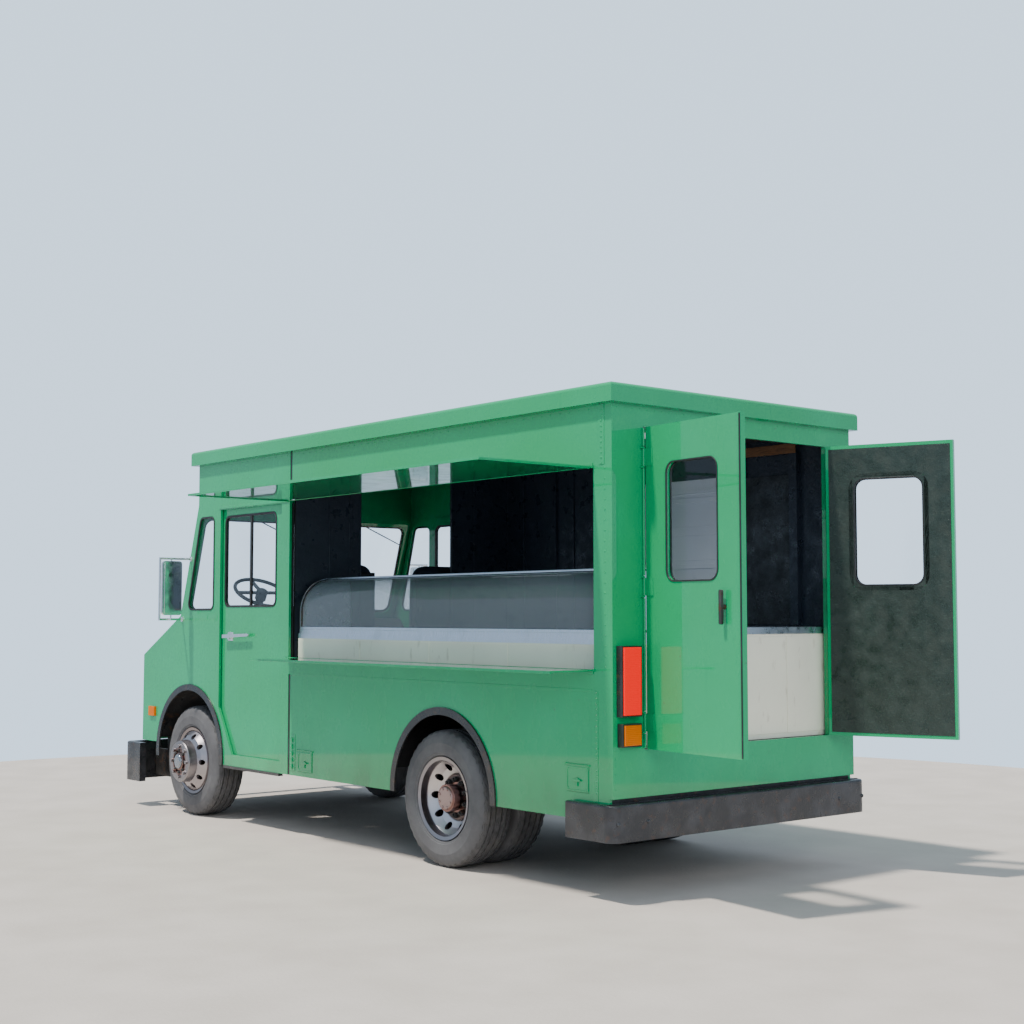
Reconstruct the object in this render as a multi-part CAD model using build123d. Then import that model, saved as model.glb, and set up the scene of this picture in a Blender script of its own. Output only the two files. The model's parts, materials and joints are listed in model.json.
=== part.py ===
"""Walk-in step van fitted out as a food truck, one STEP file per sub-part, in millimetres.

Axes: +Z up, -Y towards the nose, +X towards the truck's left side. The dimensions below count
from the middle of the rear wall at ground level; every part is then moved to the middle of
the footprint, so the origin lies on the ground under the centre of the whole truck.
"""
from build123d import *
from math import cos, radians, sin
import os

# Origin of the written parts, in the dimensions used below
ORIGIN = Vector(290, -2630, 0)

# Body
HALF_WIDTH = 1081
WALL = 20
WALL_TOP = 2845
ROOF_TOP = 2958
OVERHANG = 41
SKIRT = 452
SHELL_REAR = -4536
HEADER_Y = -4925
SCREEN_TOP = 2445
SCREEN_FOOT = (-5190, 1620)
HOOD_FRONT = (-5846, 1289)
NOSE_Y = -5850
NOSE_BOTTOM = 564
ROOF_FRONT = -4965
POST_REAR = -30
FLOOR = 857
FLOOR_T = 20
LINING_X = 1026
CEILING = 2815

# Wheels and axles
TYRE_R = 442
TYRE_W = 264
FRONT_Y = -5027
REAR_Y = -1646
TYRE_X = 921
DUAL_SPACING = 290
RIM_R = 267
BEAD_R = 250
SPINDLE_R = 40
FIT = 0.05
KINGPIN_X = 780
KINGPIN_R = 20
ARM_LENGTH = 180
ARM_Z = 352

HAND_HOLES = 10
HAND_HOLE_R = 24
EYE_R = 16
# Rim cross-section: offset from the tyre's middle, radius
RIM_SHELL = [(-112, BEAD_R - 6), (-118, RIM_R), (-110, RIM_R), (-102, BEAD_R), (102, BEAD_R), (110, RIM_R),
             (118, RIM_R), (112, BEAD_R - 6)]

# Wheel arches: centre Y, centre Z, radius
FRONT_ARCH = (-5010, 502, 562)
REAR_ARCH = (-1602, 475, 558)
TRIM_WIDTH = 50
TRIM_PROUD = 12
LINER_R = 572
REAR_BOX_Y = (-2170, -1034)

# Serving hatch in the left wall
HATCH_Y = (-3489, -156)
HATCH_Z = (1312, 2487)
HINGE_X = 1090
AWNING_EDGE = 1925
AWNING_Z = 2481
SHELF_EDGE = 1414
SHELF_Z = 1308
FLAP_T = 8

# Cab front: V counts up the slope of the screen or hood from its lower edge
SCREEN_X = 1005
SCREEN_V = (40, 842)
SCREEN_R = 75
HOOD_X = 690
HOOD_V = (60, 672)
HOOD_HINGE = (682, 9)
QUARTER_Y = (-4868, -4630)
QUARTER_Z = (1664, 2422)
QUARTER_LEAN = 210
QUARTER_R = 58
LAMP_X = 850
LAMP_Z = 980
LAMP_R = 92
GRILLE_X = 560
GRILLE_Z = (720, 1160)

# Cab doors
DOOR_OPENING = [(-4536, 898), (-4536, 2464), (-3602, 2464), (-3602, 540), (-4319, 540)]
DOOR_LEAF = [(-4556, 893), (-4556, 2484), (-3582, 2484), (-3582, 520), (-4332, 520)]
DOOR_X = (1034, 1054)
DOOR_WINDOW_Y = (-4505, -3713)
DOOR_WINDOW_Z = (1688, 2416)

# Rear doors
REAR_HINGE = (834, 8)
REAR_LEAF_X = (6, 826)
REAR_LEAF_T = 34
REAR_OPENING_X = 830
REAR_OPENING_Z = (855, 2720)
REAR_WINDOW_X = (190, 640)
REAR_WINDOW_Z = (1812, 2500)
LEFT_ANGLE = 96.5
RIGHT_ANGLE = 110.0
LATCH_X = 144
LATCH_Z = 1668

# Small flaps in the left wall: Y limits, Z limits
FUEL_FLAP = ((-394, -199), (604, 758))
LOCKER_FLAP = ((-3341, -3143), (486, 636))

# Food counter
DISPLAY_Y = (-3440, -172)
DISPLAY_X = (560, 1026)
DISPLAY_BASE_TOP = 1455
DISPLAY_DECK = 1520
DISPLAY_TOP = 1900
DISPLAY_CURVE = 250

# Driver's controls
WHEEL_CENTRE = Vector(600, -4700, 1810)
COLUMN_TILT = 30
WIPER_LENGTH = 486
WIPER_DROP = 21
WIPER_X = (526, -533)
WIPER_V = 850


def block(x, y, z):
    """Box between two limits on each axis."""
    size = [abs(side[1] - side[0]) for side in (x, y, z)]
    middle = [(side[1] + side[0]) / 2 for side in (x, y, z)]
    return Pos(*middle) * Box(*size)


def rod(start, end, radius):
    """Round bar between two points."""
    start = Vector(*start)
    end = Vector(*end)
    plane = Plane(origin=start, z_dir=end - start)
    return extrude(plane * Circle(radius), (end - start).length)


def across(outline, x):
    """Plate with a side-view outline of Y, Z points between two X limits."""
    face = make_face(Polyline(*[(0, y, z) for y, z in outline], close=True))
    return Pos(x[0], 0, 0) * extrude(face, x[1] - x[0], dir=(1, 0, 0))


def drum(centre, radius, x):
    """Cylinder along X about a Y, Z centre."""
    return rod((x[0], *centre), (x[1], *centre), radius)


def side_window(y, z, radius, x, lean=0):
    """Cutter for a rounded window in a side wall; lean moves the lower front corner forward."""
    corners = [(y[0] - lean, z[0]), (y[1], z[0]), (y[1], z[1]), (y[0], z[1])]
    cutter = across(corners, x)
    return fillet(cutter.edges().filter_by(Axis.X), radius)


def rear_window(x, z, y, radius):
    """Rounded rectangle seen from behind, between two Y limits."""
    cutter = block(x, y, z)
    return fillet(cutter.edges().filter_by(Axis.Y), radius)


def shell_box(x, y, z, thickness):
    """Closed cabinet with an empty inside and a wide opening towards the aisle."""
    outer = block(x, y, z)
    inner = block((x[0] - thickness, x[1] - thickness),
                  (y[0] + thickness, y[1] - thickness), (z[0] + thickness, z[1] - thickness))
    return outer - inner


def to_right(shape):
    """The same part on the other side of the truck."""
    return mirror(shape, about=Plane.YZ)


def both(shape):
    """A part and its mirror image."""
    return [shape, to_right(shape)]


def write(name, *shapes):
    """One STEP file with all solids of a sub-part, in the frame of the whole truck."""
    solids = [solid for shape in shapes for solid in shape.solids()]
    moved = [solid.moved(Location(-ORIGIN)) for solid in solids]
    export_step(moved[0] if len(moved) == 1 else Compound(moved), f"parts/{name}.step")


def nose_profile(rear, bottom, top):
    """Side-view outline of the cab from its rear edge round to the nose."""
    return [(rear, top), (HEADER_Y, top), (HEADER_Y, SCREEN_TOP), SCREEN_FOOT, HOOD_FRONT,
            (NOSE_Y, bottom), (rear, bottom)]


def inner_profile(rear, bottom, top):
    """The same outline moved inwards by the wall thickness."""
    return [(rear, top), (HEADER_Y + WALL, top), (HEADER_Y + WALL, SCREEN_TOP - 3),
            (SCREEN_FOOT[0] + WALL - 4, SCREEN_FOOT[1] - 22), (HOOD_FRONT[0] + WALL, HOOD_FRONT[1] - 13),
            (NOSE_Y + WALL, bottom), (rear, bottom)]


def screen_plane():
    """Plane of the windscreen's outer face, X across and Y up the slope."""
    up = Vector(0, HEADER_Y - SCREEN_FOOT[0], SCREEN_TOP - SCREEN_FOOT[1]).normalized()
    normal = Vector(1, 0, 0).cross(up)
    return Plane(origin=(0, *SCREEN_FOOT), x_dir=(1, 0, 0), z_dir=normal)


def hood_plane():
    """Plane of the hood's outer face, X across and Y up the slope, from its front edge."""
    up = Vector(0, SCREEN_FOOT[0] - HOOD_FRONT[0], SCREEN_FOOT[1] - HOOD_FRONT[1]).normalized()
    normal = Vector(1, 0, 0).cross(up)
    return Plane(origin=(0, *HOOD_FRONT), x_dir=(1, 0, 0), z_dir=normal)


def screen_cutter(depth, inset):
    """Rounded windscreen outline pushed through the slope, smaller by the inset."""
    middle = (SCREEN_V[0] + SCREEN_V[1]) / 2
    outline = RectangleRounded(2 * (SCREEN_X - inset), SCREEN_V[1] - SCREEN_V[0] - 2 * inset,
                               SCREEN_R - inset / 2)
    return extrude(screen_plane() * Pos(0, middle) * outline, depth, both=True)


def quarter_cutter(x, inset):
    """Leaning quarter window ahead of the cab door."""
    return side_window((QUARTER_Y[0] + inset, QUARTER_Y[1] - inset),
                       (QUARTER_Z[0] + inset, QUARTER_Z[1] - inset), QUARTER_R - inset, x, QUARTER_LEAN)


def cab_shell():
    """Hollow nose and cab front with windscreen, quarter window, hood, grille and lamp openings."""
    shell = across(nose_profile(SHELL_REAR, NOSE_BOTTOM, WALL_TOP), (-HALF_WIDTH, HALF_WIDTH))
    nose_edges = shell.edges().filter_by(Axis.Z).filter_by(lambda e: e.center().Y < HEADER_Y + 1)
    shell = fillet([e for e in nose_edges if e.length > 200], 30)
    inside = HALF_WIDTH - WALL
    shell -= across(inner_profile(SHELL_REAR + 200, NOSE_BOTTOM - 100, WALL_TOP + 100), (-inside, inside))
    shell -= screen_cutter(90, 0)
    shell -= quarter_cutter((-HALF_WIDTH - 5, HALF_WIDTH + 5), 0)
    shell -= drum(FRONT_ARCH[:2], FRONT_ARCH[2], (-HALF_WIDTH - 5, HALF_WIDTH + 5))
    opening = Pos(0, sum(HOOD_V) / 2) * RectangleRounded(2 * HOOD_X, HOOD_V[1] - HOOD_V[0], 30)
    shell -= extrude(hood_plane() * opening, 60, both=True)
    shell -= block((-GRILLE_X, GRILLE_X), (NOSE_Y - 10, NOSE_Y + 60), GRILLE_Z)
    for side in (-1, 1):
        shell -= rod((side * LAMP_X, NOSE_Y - 10, LAMP_Z), (side * LAMP_X, NOSE_Y + 60, LAMP_Z), LAMP_R)
    bars = [block((-GRILLE_X, GRILLE_X), (NOSE_Y + 4, NOSE_Y + 16), (z, z + 22))
            for z in range(GRILLE_Z[0] + 40, GRILLE_Z[1] - 20, 62)]
    plane = screen_plane()
    spindles = [rod(plane.from_local_coords(Vector(x, WIPER_V, 0)),
                    plane.from_local_coords(Vector(x, WIPER_V, 18)), 6) for x in WIPER_X]
    panels = [panel for zone in cab_zones() for panel in (shell & zone).solids()]
    return [*panels, *bars, *hood_pins(), *spindles]


def cab_zones():
    """Blocks that divide the cab's skin into its abutting panels."""
    reach = HALF_WIDTH + 5
    inside = HALF_WIDTH - WALL
    front, rear = NOSE_Y - 5, SHELL_REAR
    bottom, top = NOSE_BOTTOM - 5, WALL_TOP + 5
    post = QUARTER_Y[1] - QUARTER_R - 2
    arch_y, arch_top = FRONT_ARCH[0], FRONT_ARCH[1] + FRONT_ARCH[2]
    arch_side = arch_y - 397
    sill = QUARTER_Z[0] + QUARTER_R
    head = QUARTER_Z[1] - QUARTER_R
    side_zones = [((post, rear + 5), (bottom, top)), ((front, post), (head, top)),
                  ((front, post), (sill, head)), ((front, post), (arch_top, sill)),
                  ((front, arch_side), (bottom, arch_top)), ((arch_side, arch_y), (bottom, arch_top)),
                  ((arch_y, post), (bottom, arch_top))]
    zones = [block((side * inside, side * reach), y, z) for side in (-1, 1) for y, z in side_zones]
    zones.append(block((-inside, inside), (front, rear), (SCREEN_TOP, top)))
    zones.append(block((-inside, inside), (front, rear), (SCREEN_FOOT[1], SCREEN_TOP)))
    for x in ((-inside, -HOOD_X), (-HOOD_X, HOOD_X), (HOOD_X, inside)):
        zones.append(block(x, (front, rear), (HOOD_FRONT[1], SCREEN_FOOT[1])))
    for x in ((-inside, -GRILLE_X), (-GRILLE_X, GRILLE_X), (GRILLE_X, inside)):
        zones.append(block(x, (front, rear), (bottom, HOOD_FRONT[1])))
    return zones


def wall_panels():
    """Outer panels of a side wall with the door opening and both arches, without the hatch."""
    x = (HALF_WIDTH - WALL, HALF_WIDTH)
    front_arch = drum(FRONT_ARCH[:2], FRONT_ARCH[2], (x[0] - 5, x[1] + 5))
    rear_arch = drum(REAR_ARCH[:2], REAR_ARCH[2], (x[0] - 5, x[1] + 5))
    sill = [(SHELL_REAR, SKIRT), (SHELL_REAR, 898), (-4319, 540), (HATCH_Y[0], 540), (HATCH_Y[0], SKIRT)]
    seam = 1191
    return {
        "door_header": block(x, (SHELL_REAR, HATCH_Y[0]), (2464, WALL_TOP)),
        "post": block(x, (-3602, HATCH_Y[0]), (540, 2464)),
        "sill": across(sill, x) - front_arch,
        "top": block(x, (HATCH_Y[0], POST_REAR), (HATCH_Z[1], WALL_TOP)),
        "rear_post": block(x, (HATCH_Y[1], POST_REAR), HATCH_Z),
        "belt": block(x, (HATCH_Y[0], POST_REAR), (seam, HATCH_Z[0])),
        "front_lower": block(x, (HATCH_Y[0], REAR_ARCH[0]), (SKIRT, seam)) - rear_arch,
        "rear_lower": block(x, (REAR_ARCH[0], POST_REAR), (SKIRT, seam)) - rear_arch,
    }


def wall_left():
    """Left wall with grooves, the hatch opening, two small flap openings and the flap hinges."""
    panels = wall_panels()
    face = (HALF_WIDTH - 8, HALF_WIDTH + 5)
    panels["top"] -= block(face, (-3486, -3457), (2634, WALL_TOP))
    panels["front_lower"] -= block(face, (-3486, -3457), (SKIRT - 5, 1195))
    through = (HALF_WIDTH - WALL - 5, HALF_WIDTH + 5)
    panels["front_lower"] -= block(through, *LOCKER_FLAP)
    panels["rear_lower"] -= block(through, *FUEL_FLAP)
    hinges = []
    for z in (AWNING_Z, SHELF_Z):
        hinges.append(rod((HINGE_X, HATCH_Y[0] - 6, z), (HINGE_X, HATCH_Y[1] + 6, z), 3.5))
        for y in (HATCH_Y[0] - 6, HATCH_Y[1]):
            hinges.append(block((HALF_WIDTH, HINGE_X + 6), (y, y + 6), (z - 8, z + 8)))
    pins = []
    for flap in (FUEL_FLAP, LOCKER_FLAP):
        (y0, y1), (_, z1) = flap
        pins.append(rod((HALF_WIDTH + 5, y0 - 4, z1 + 5), (HALF_WIDTH + 5, y1 + 4, z1 + 5), 2))
        for y in (y0 - 6, y1 + 2):
            pins.append(block((HALF_WIDTH, HALF_WIDTH + 9), (y, y + 4), (z1 - 1, z1 + 10)))
    locker = block((HALF_WIDTH - WALL - 6, HALF_WIDTH - WALL), (-3360, -3124), (470, 652))
    return [*panels.values(), fuse_all(hinges[:3]), fuse_all(hinges[3:]),
            fuse_all(pins[:3]), fuse_all(pins[3:]), locker]


def fuse_all(shapes):
    """One solid from pieces that touch."""
    result = shapes[0]
    for shape in shapes[1:]:
        result += shape
    return result


def wall_right():
    """Right wall, closed along its whole cargo length."""
    panels = wall_panels()
    x = (HALF_WIDTH - WALL, HALF_WIDTH)
    panels["side"] = block(x, HATCH_Y, HATCH_Z)
    return [to_right(panel) for panel in panels.values()]


def rear_frame():
    """Posts, header and lower panel round the rear doorway, with the door hinge pins."""
    y = (POST_REAR, 0)
    post = block((REAR_OPENING_X, HALF_WIDTH), y, (587, WALL_TOP))
    header = block((-REAR_OPENING_X, REAR_OPENING_X), y, (REAR_OPENING_Z[1], WALL_TOP))
    lower = block((-REAR_OPENING_X, REAR_OPENING_X), y, (587, REAR_OPENING_Z[0]))
    hinge = []
    for z in (1010, 1788, 2540):
        pin = rod((*REAR_HINGE, z - 62), (*REAR_HINGE, z + 62), 4)
        for end in (z - 62, z + 52):
            pin += block((REAR_HINGE[0] - 4, REAR_HINGE[0] + 22), (0, REAR_HINGE[1] + 5), (end, end + 10))
        hinge.append(pin)
    return [*both(post), header, lower, *[part for pin in hinge for part in both(pin)]]


def roof():
    """Shallow roof cap with a skirt that overhangs the walls, and bows under it."""
    x = HALF_WIDTH + OVERHANG
    cap = block((-x, x), (ROOF_FRONT, OVERHANG), (WALL_TOP, ROOF_TOP))
    cap = fillet(cap.edges().group_by(Axis.Z)[-1], 24)
    cap -= block((-x + 41, x - 41), (ROOF_FRONT + 41, 0), (WALL_TOP - 5, ROOF_TOP - 10))
    bows = [block((-1030, 1030), (y, y + 40), (ROOF_TOP - 60, ROOF_TOP - 10))
            for y in range(-4600, -200, 620)]
    return [cap, *bows]


def floor():
    """Cab and cargo floor, step wells at the cab doors and the wheel boxes."""
    top = (FLOOR - FLOOR_T, FLOOR)
    cab = [block((-545, 545), (-4280, -3490), top), block((350, 545), (-5160, -4280), top),
           block((-545, -350), (-5160, -4280), top)]
    steps = []
    for side in (-1, 1):
        well_x = (side * 545, side * 1024)
        steps.append(block(well_x, (-4300, -3612), (540, 555)))
        steps.append(block((side * 545, side * 560), (-4300, -3612), (555, FLOOR)))
        steps.append(block(well_x, (-3602, -3490), top))
    cargo = [block((-1020, 1020), (-3490, REAR_BOX_Y[0]), top),
             block((-470, 470), REAR_BOX_Y, top),
             block((-1020, 1020), (REAR_BOX_Y[1], POST_REAR), top)]
    boxes = [panel for side in (-1, 1) for panel in (*rear_wheel_box(side), *front_wheel_box(side))]
    return [*cab, *steps, *cargo, *boxes]


def rear_wheel_box(side):
    """Panels of the box over the dual wheels on one side: inner wall, front, rear and top."""
    x = (side * 488, side * 1061)
    y0, y1 = REAR_BOX_Y
    return [block((side * 480, side * 488), REAR_BOX_Y, (600, 1042)),
            block(x, (y0, y0 + 8), (600, 1042)),
            block(x, (y1 - 8, y1), (600, 1042)),
            block(x, (y0 + 8, y1 - 8), (1034, 1042))]


def front_wheel_box(side):
    """Arched liner over a front wheel in six segments, and its inner wall."""
    below = block((side * 500, side * 1100), (-5700, -4300), (-100, 600))
    y, z = FRONT_ARCH[:2]
    liner = drum((y, z), LINER_R, (side * 554, side * 1061))
    liner -= drum((y, z), LINER_R - 8, (side * 550, side * 1070))
    wall = drum((y, z), LINER_R, (side * 546, side * 554)) - below
    segments = []
    for start in range(0, 180, 30):
        rim_points = [(cos(radians(start + turn)), sin(radians(start + turn))) for turn in (0, 15, 30)]
        wedge = [(y, z), *[(y + 800 * u, z + 800 * v) for u, v in rim_points]]
        segments += ((liner & across(wedge, (-1100, 1100))) - below).solids()
    return [wall, *segments]


def chassis_frame():
    """Two long rails, cross members and the bumper and body brackets."""
    rail = block((395, 465), (-5825, -80), (600, 780)) - block((407, 480), (-5840, -70), (612, 768))
    members = [block((-395, 395), (y, y + 60), (756, 812)) for y in (-3780, -2560, -940, -160)]
    members.append(block((-395, 395), (-5820, -5760), (620, 740)))
    outriggers = []
    for y in (-3560, -2400, -800):
        outriggers += both(block((465, 1020), (y, y + 50), (700, FLOOR - FLOOR_T)))
    front = both(block((840, 870), (-6035, -5600), (240, 470)))
    ties = both(block((465, 870), (-5800, -5740), (470, 640)))
    rear = both(block((400, 460), (-150, 5), (380, 560)) + block((400, 460), (-150, -35), (560, 600)))
    return [*both(rail), *members, *outriggers, *front, *ties, *rear]


def axle_beams():
    """Front beam with kingpin bosses and rear axle housing with spindles and differential."""
    beam = block((-690, 690), (FRONT_Y - 35, FRONT_Y + 35), (385, 455))
    for side in (-1, 1):
        beam += block((side * 680, side * KINGPIN_X), (FRONT_Y - 28, FRONT_Y + 28), (405, 479))
        beam += rod((side * KINGPIN_X, FRONT_Y, 400), (side * KINGPIN_X, FRONT_Y, 484), 38)
    for side in (-1, 1):
        beam -= rod((side * KINGPIN_X, FRONT_Y, 390), (side * KINGPIN_X, FRONT_Y, 490), KINGPIN_R + FIT)
    rear = rod((-470, REAR_Y, TYRE_R), (470, REAR_Y, TYRE_R), 62)
    rear += rod((-900, REAR_Y, TYRE_R), (900, REAR_Y, TYRE_R), SPINDLE_R)
    rear += Pos(0, REAR_Y, TYRE_R) * Sphere(178)
    start, end = shaft_ends()
    along = (end - start).normalized()
    rear += rod(end - along * 60, end + along * 60, 26)
    return [beam, rear]


def shaft_ends():
    """Gearbox end and axle end of the propeller shaft."""
    return Vector(0, -3800, 690), Vector(0, REAR_Y - 200, TYRE_R + 20)


def drive_shaft():
    """Tubular propeller shaft with a yoke at each end, running on stubs."""
    start, end = shaft_ends()
    along = (end - start).normalized()
    shaft = rod(start + along * 4, end - along * 4, 45)
    for point in (start + along * 4, end - along * 54):
        shaft += rod(point, point + along * 50, 62)
    shaft -= rod(start - along * 10, start + along * 64, 26 + FIT)
    shaft -= rod(end - along * 64, end + along * 10, 26 + FIT)
    return shaft


def engine():
    """Upright engine with sump, rocker cover and radiator, and the gearbox behind it."""
    parts = [block((-190, 190), (-5420, -4560), (640, 1020)),
             block((-150, 150), (-5400, -4700), (560, 640)),
             block((-110, 110), (-5400, -4580), (1020, 1110)),
             rod((0, -5450, 760), (0, -5420, 760), 110),
             block((-380, 380), (-5700, -5630), (640, 1150))]
    start, end = shaft_ends()
    along = (end - start).normalized()
    box = loft([Plane((0, -4560, 740), x_dir=(1, 0, 0), z_dir=(0, 1, 0)) * Rectangle(340, 300),
                Plane((0, -4300, 720), x_dir=(1, 0, 0), z_dir=(0, 1, 0)) * Rectangle(230, 210)])
    box += block((-115, 115), (-4300, -3860), (615, 825))
    box += rod(start - along * 80, start + along * 60, 26)
    for y in (-5640, -5440):
        parts.append(rod((0, y, 860), (0, y + 20, 860), 30))
    return [*parts, box]


def leaf_springs():
    """A pack of leaves at each wheel, bowed down to its axle."""
    packs = []
    for axle_y, seat in ((FRONT_Y, 455), (REAR_Y, 504)):
        for leaf in range(4):
            half = 620 - 120 * leaf
            sag = 550 - seat
            low = seat + 12 * (3 - leaf) + 2
            rise = sag * (half / 620) ** 2
            outline = [(axle_y - half, low + rise), (axle_y, low), (axle_y + half, low + rise),
                       (axle_y + half, low + rise + 10), (axle_y, low + 10), (axle_y - half, low + rise + 10)]
            packs += both(across(outline, (396, 464)))
    return packs


def tank_and_exhaust():
    """Fuel tank between the rails, its filler neck, and the exhaust pipe with its silencer."""
    tank = fillet(block((-360, 360), (-870, -230), (470, 610)).edges().filter_by(Axis.Y), 45)
    cup = rod((1010, -297, 681), (1050, -297, 681), 42)
    neck = rod((340, -297, 530), (1018, -297, 685), 24) - tank - cup
    silencer = rod((-570, -3300, 545), (-570, -2560, 545), 85)
    tail = rod((-570, -2560, 545), (-570, -2330, 545), 28)
    bend = (-505, -4330, 545)
    pipe = rod(bend, (-505, -3290, 545), 28) + Pos(*bend) * Sphere(28)
    down = rod((-215, -4560, 560), bend, 28) - pipe
    return [tank, neck, cup, silencer, tail, pipe - silencer, down]


def tyre(x, side):
    """Hollow tyre about the axle line, centred on x."""
    half = TYRE_W / 2
    outside = [(-101, BEAD_R + 0.3), (-101, RIM_R + 2), (-122, RIM_R + 12), (-half, 335), (-half + 4, 385),
               (-half + 20, 424), (-half + 46, TYRE_R - 4)]
    inside = [(-half + 44, TYRE_R - 26), (-half + 20, 380), (-half + 16, 335), (-88, BEAD_R + 14),
              (-88, BEAD_R + 0.3)]
    crown = [(0, TYRE_R)]
    lining = [(0, TYRE_R - 22)]
    points = [*outside, *crown, *opposite(outside), *opposite(inside), *lining, *inside]
    section = make_face(Polyline(*[(s, 0, r) for s, r in points], close=True))
    return Pos(side * x, 0, 0) * revolve(section, Axis.X, 360)


def opposite(points):
    """Profile points mirrored to the other side of the wheel's middle, in reverse order."""
    return [(-s, r) for s, r in reversed(points)]


def at_axle(shape, y):
    """Move a wheel part from the X axis to its axle line."""
    return Pos(0, y, TYRE_R) * shape


def revolved(profile, x, side):
    """Solid of revolution about the axle from (offset, radius) points, outward positive."""
    section = make_face(Polyline(*[(side * s, 0, r) for s, r in profile], close=True))
    return Pos(side * x, 0, 0) * revolve(section, Axis.X, 360)


def front_rim(side):
    """Front wheel: rim, outward dome with hand holes, hub drum with nuts and centre cap."""
    body = revolved(RIM_SHELL, TYRE_X, side)
    disc = [(62, 244), (70, BEAD_R - 2), (112, 238), (150, 205), (168, 172), (232, 164), (239, 158),
            (239, 98), (224, 94), (224, 72), (241, 70), (248, 52), (250, 0), (206, 0), (206, 31), (30, 31),
            (30, 62), (150, 62), (150, 160), (136, 192), (100, 226)]
    body += revolved(disc, TYRE_X, side)
    for index in range(HAND_HOLES):
        angle = radians(360 / HAND_HOLES * (index + 0.5))
        hole = rod((side * (TYRE_X + 60), 205 * sin(angle), 205 * cos(angle)),
                   (side * (TYRE_X + 230), 205 * sin(angle), 205 * cos(angle)), HAND_HOLE_R - 3)
        body -= hole
    body -= rod((side * (TYRE_X + 10), 0, 0), (side * (TYRE_X + 190), 0, 0), 30 + FIT)
    for index in range(8):
        angle = radians(45 * index)
        y, z = 122 * sin(angle), 122 * cos(angle)
        body += rod((side * (TYRE_X + 236), y, z), (side * (TYRE_X + 252), y, z), 15)
    return at_axle(body, FRONT_Y)


def rear_rims(side):
    """Rear dual wheels on one hub: outer dish with hand holes, inner dish and hub drum."""
    inner_x = TYRE_X - DUAL_SPACING
    body = revolved(RIM_SHELL, TYRE_X, side)
    body += revolved(RIM_SHELL, inner_x, side)
    outer_dish = [(60, BEAD_R - 2), (50, BEAD_R - 2), (2, 205), (-22, 160), (-22, 80), (-8, 80), (-8, 150),
                  (14, 196), (60, 238)]
    inner_dish = [(-60, BEAD_R - 2), (-50, BEAD_R - 2), (60, 160), (110, 150), (110, 80), (96, 80), (96, 142),
                  (52, 148), (-60, 238)]
    body += revolved(outer_dish, TYRE_X, side)
    body += revolved(inner_dish, inner_x, side)
    for index in range(HAND_HOLES):
        angle = radians(360 / HAND_HOLES * (index + 0.5))
        body -= rod((side * (TYRE_X - 60), 198 * sin(angle), 198 * cos(angle)),
                    (side * (TYRE_X + 80), 198 * sin(angle), 198 * cos(angle)), HAND_HOLE_R)
    body += rod((side * 482, 0, 0), (side * 990, 0, 0), 84)
    body -= rod((side * 470, 0, 0), (side * 910, 0, 0), SPINDLE_R + FIT)
    for index in range(10):
        angle = radians(36 * index)
        y, z = 116 * sin(angle), 116 * cos(angle)
        body += rod((side * (TYRE_X - 10), y, z), (side * (TYRE_X + 22), y, z), 15)
    return at_axle(body, REAR_Y)


def knuckle(side, pin_clearance):
    """Steering knuckle: forked ears and kingpin, wheel spindle and a trailing steering arm."""
    x = side * KINGPIN_X
    body = rod((x, FRONT_Y, 360), (x, FRONT_Y, 524), KINGPIN_R)
    for z in (364, 492):
        body += rod((x, FRONT_Y, z), (x, FRONT_Y, z + 28), 38)
        body += block((x, side * 850), (FRONT_Y - 34, FRONT_Y + 34), (z, z + 28))
    body += block((side * 826, side * 856), (FRONT_Y - 34, FRONT_Y + 34), (364, 520))
    body += rod((side * 850, FRONT_Y, TYRE_R), (side * 1105, FRONT_Y, TYRE_R), 30)
    arm_end = FRONT_Y + ARM_LENGTH
    body += block((x - 18, x + 18), (FRONT_Y, arm_end), (366, 390))
    body += rod((x, arm_end, 366), (x, arm_end, 390), 24)
    body -= rod((x, arm_end, 356), (x, arm_end, 400), 10 + pin_clearance)
    return body


def tie_rod():
    """Bar between the steering arms with an eye and an upright pin at each end."""
    y = FRONT_Y + ARM_LENGTH
    bar = rod((-KINGPIN_X, y, ARM_Z), (KINGPIN_X, y, ARM_Z), 11)
    for side in (-1, 1):
        bar += rod((side * KINGPIN_X, y, ARM_Z - 13), (side * KINGPIN_X, y, ARM_Z + 13), EYE_R)
        bar += rod((side * KINGPIN_X, y, ARM_Z), (side * KINGPIN_X, y, ARM_Z + 40), 10)
    return bar


def steering_axis():
    """Direction of the steering column, up towards the driver."""
    return Vector(0, sin(radians(COLUMN_TILT)), cos(radians(COLUMN_TILT)))


def steering_wheel():
    """Large two-spoke steering wheel with a hub on the column's shaft."""
    plane = Plane(origin=WHEEL_CENTRE, x_dir=(1, 0, 0), z_dir=steering_axis())
    rim = plane * Torus(226, 15)
    hub = rod(WHEEL_CENTRE - steering_axis() * 60, WHEEL_CENTRE + steering_axis() * 14, 46)
    spokes = plane * (Box(440, 34, 14) + Pos(0, -110, 0) * Box(30, 220, 14))
    wheel = rim + hub + spokes
    return wheel - rod(WHEEL_CENTRE - steering_axis() * 70, WHEEL_CENTRE - steering_axis() * 10, 14 + FIT)


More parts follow.
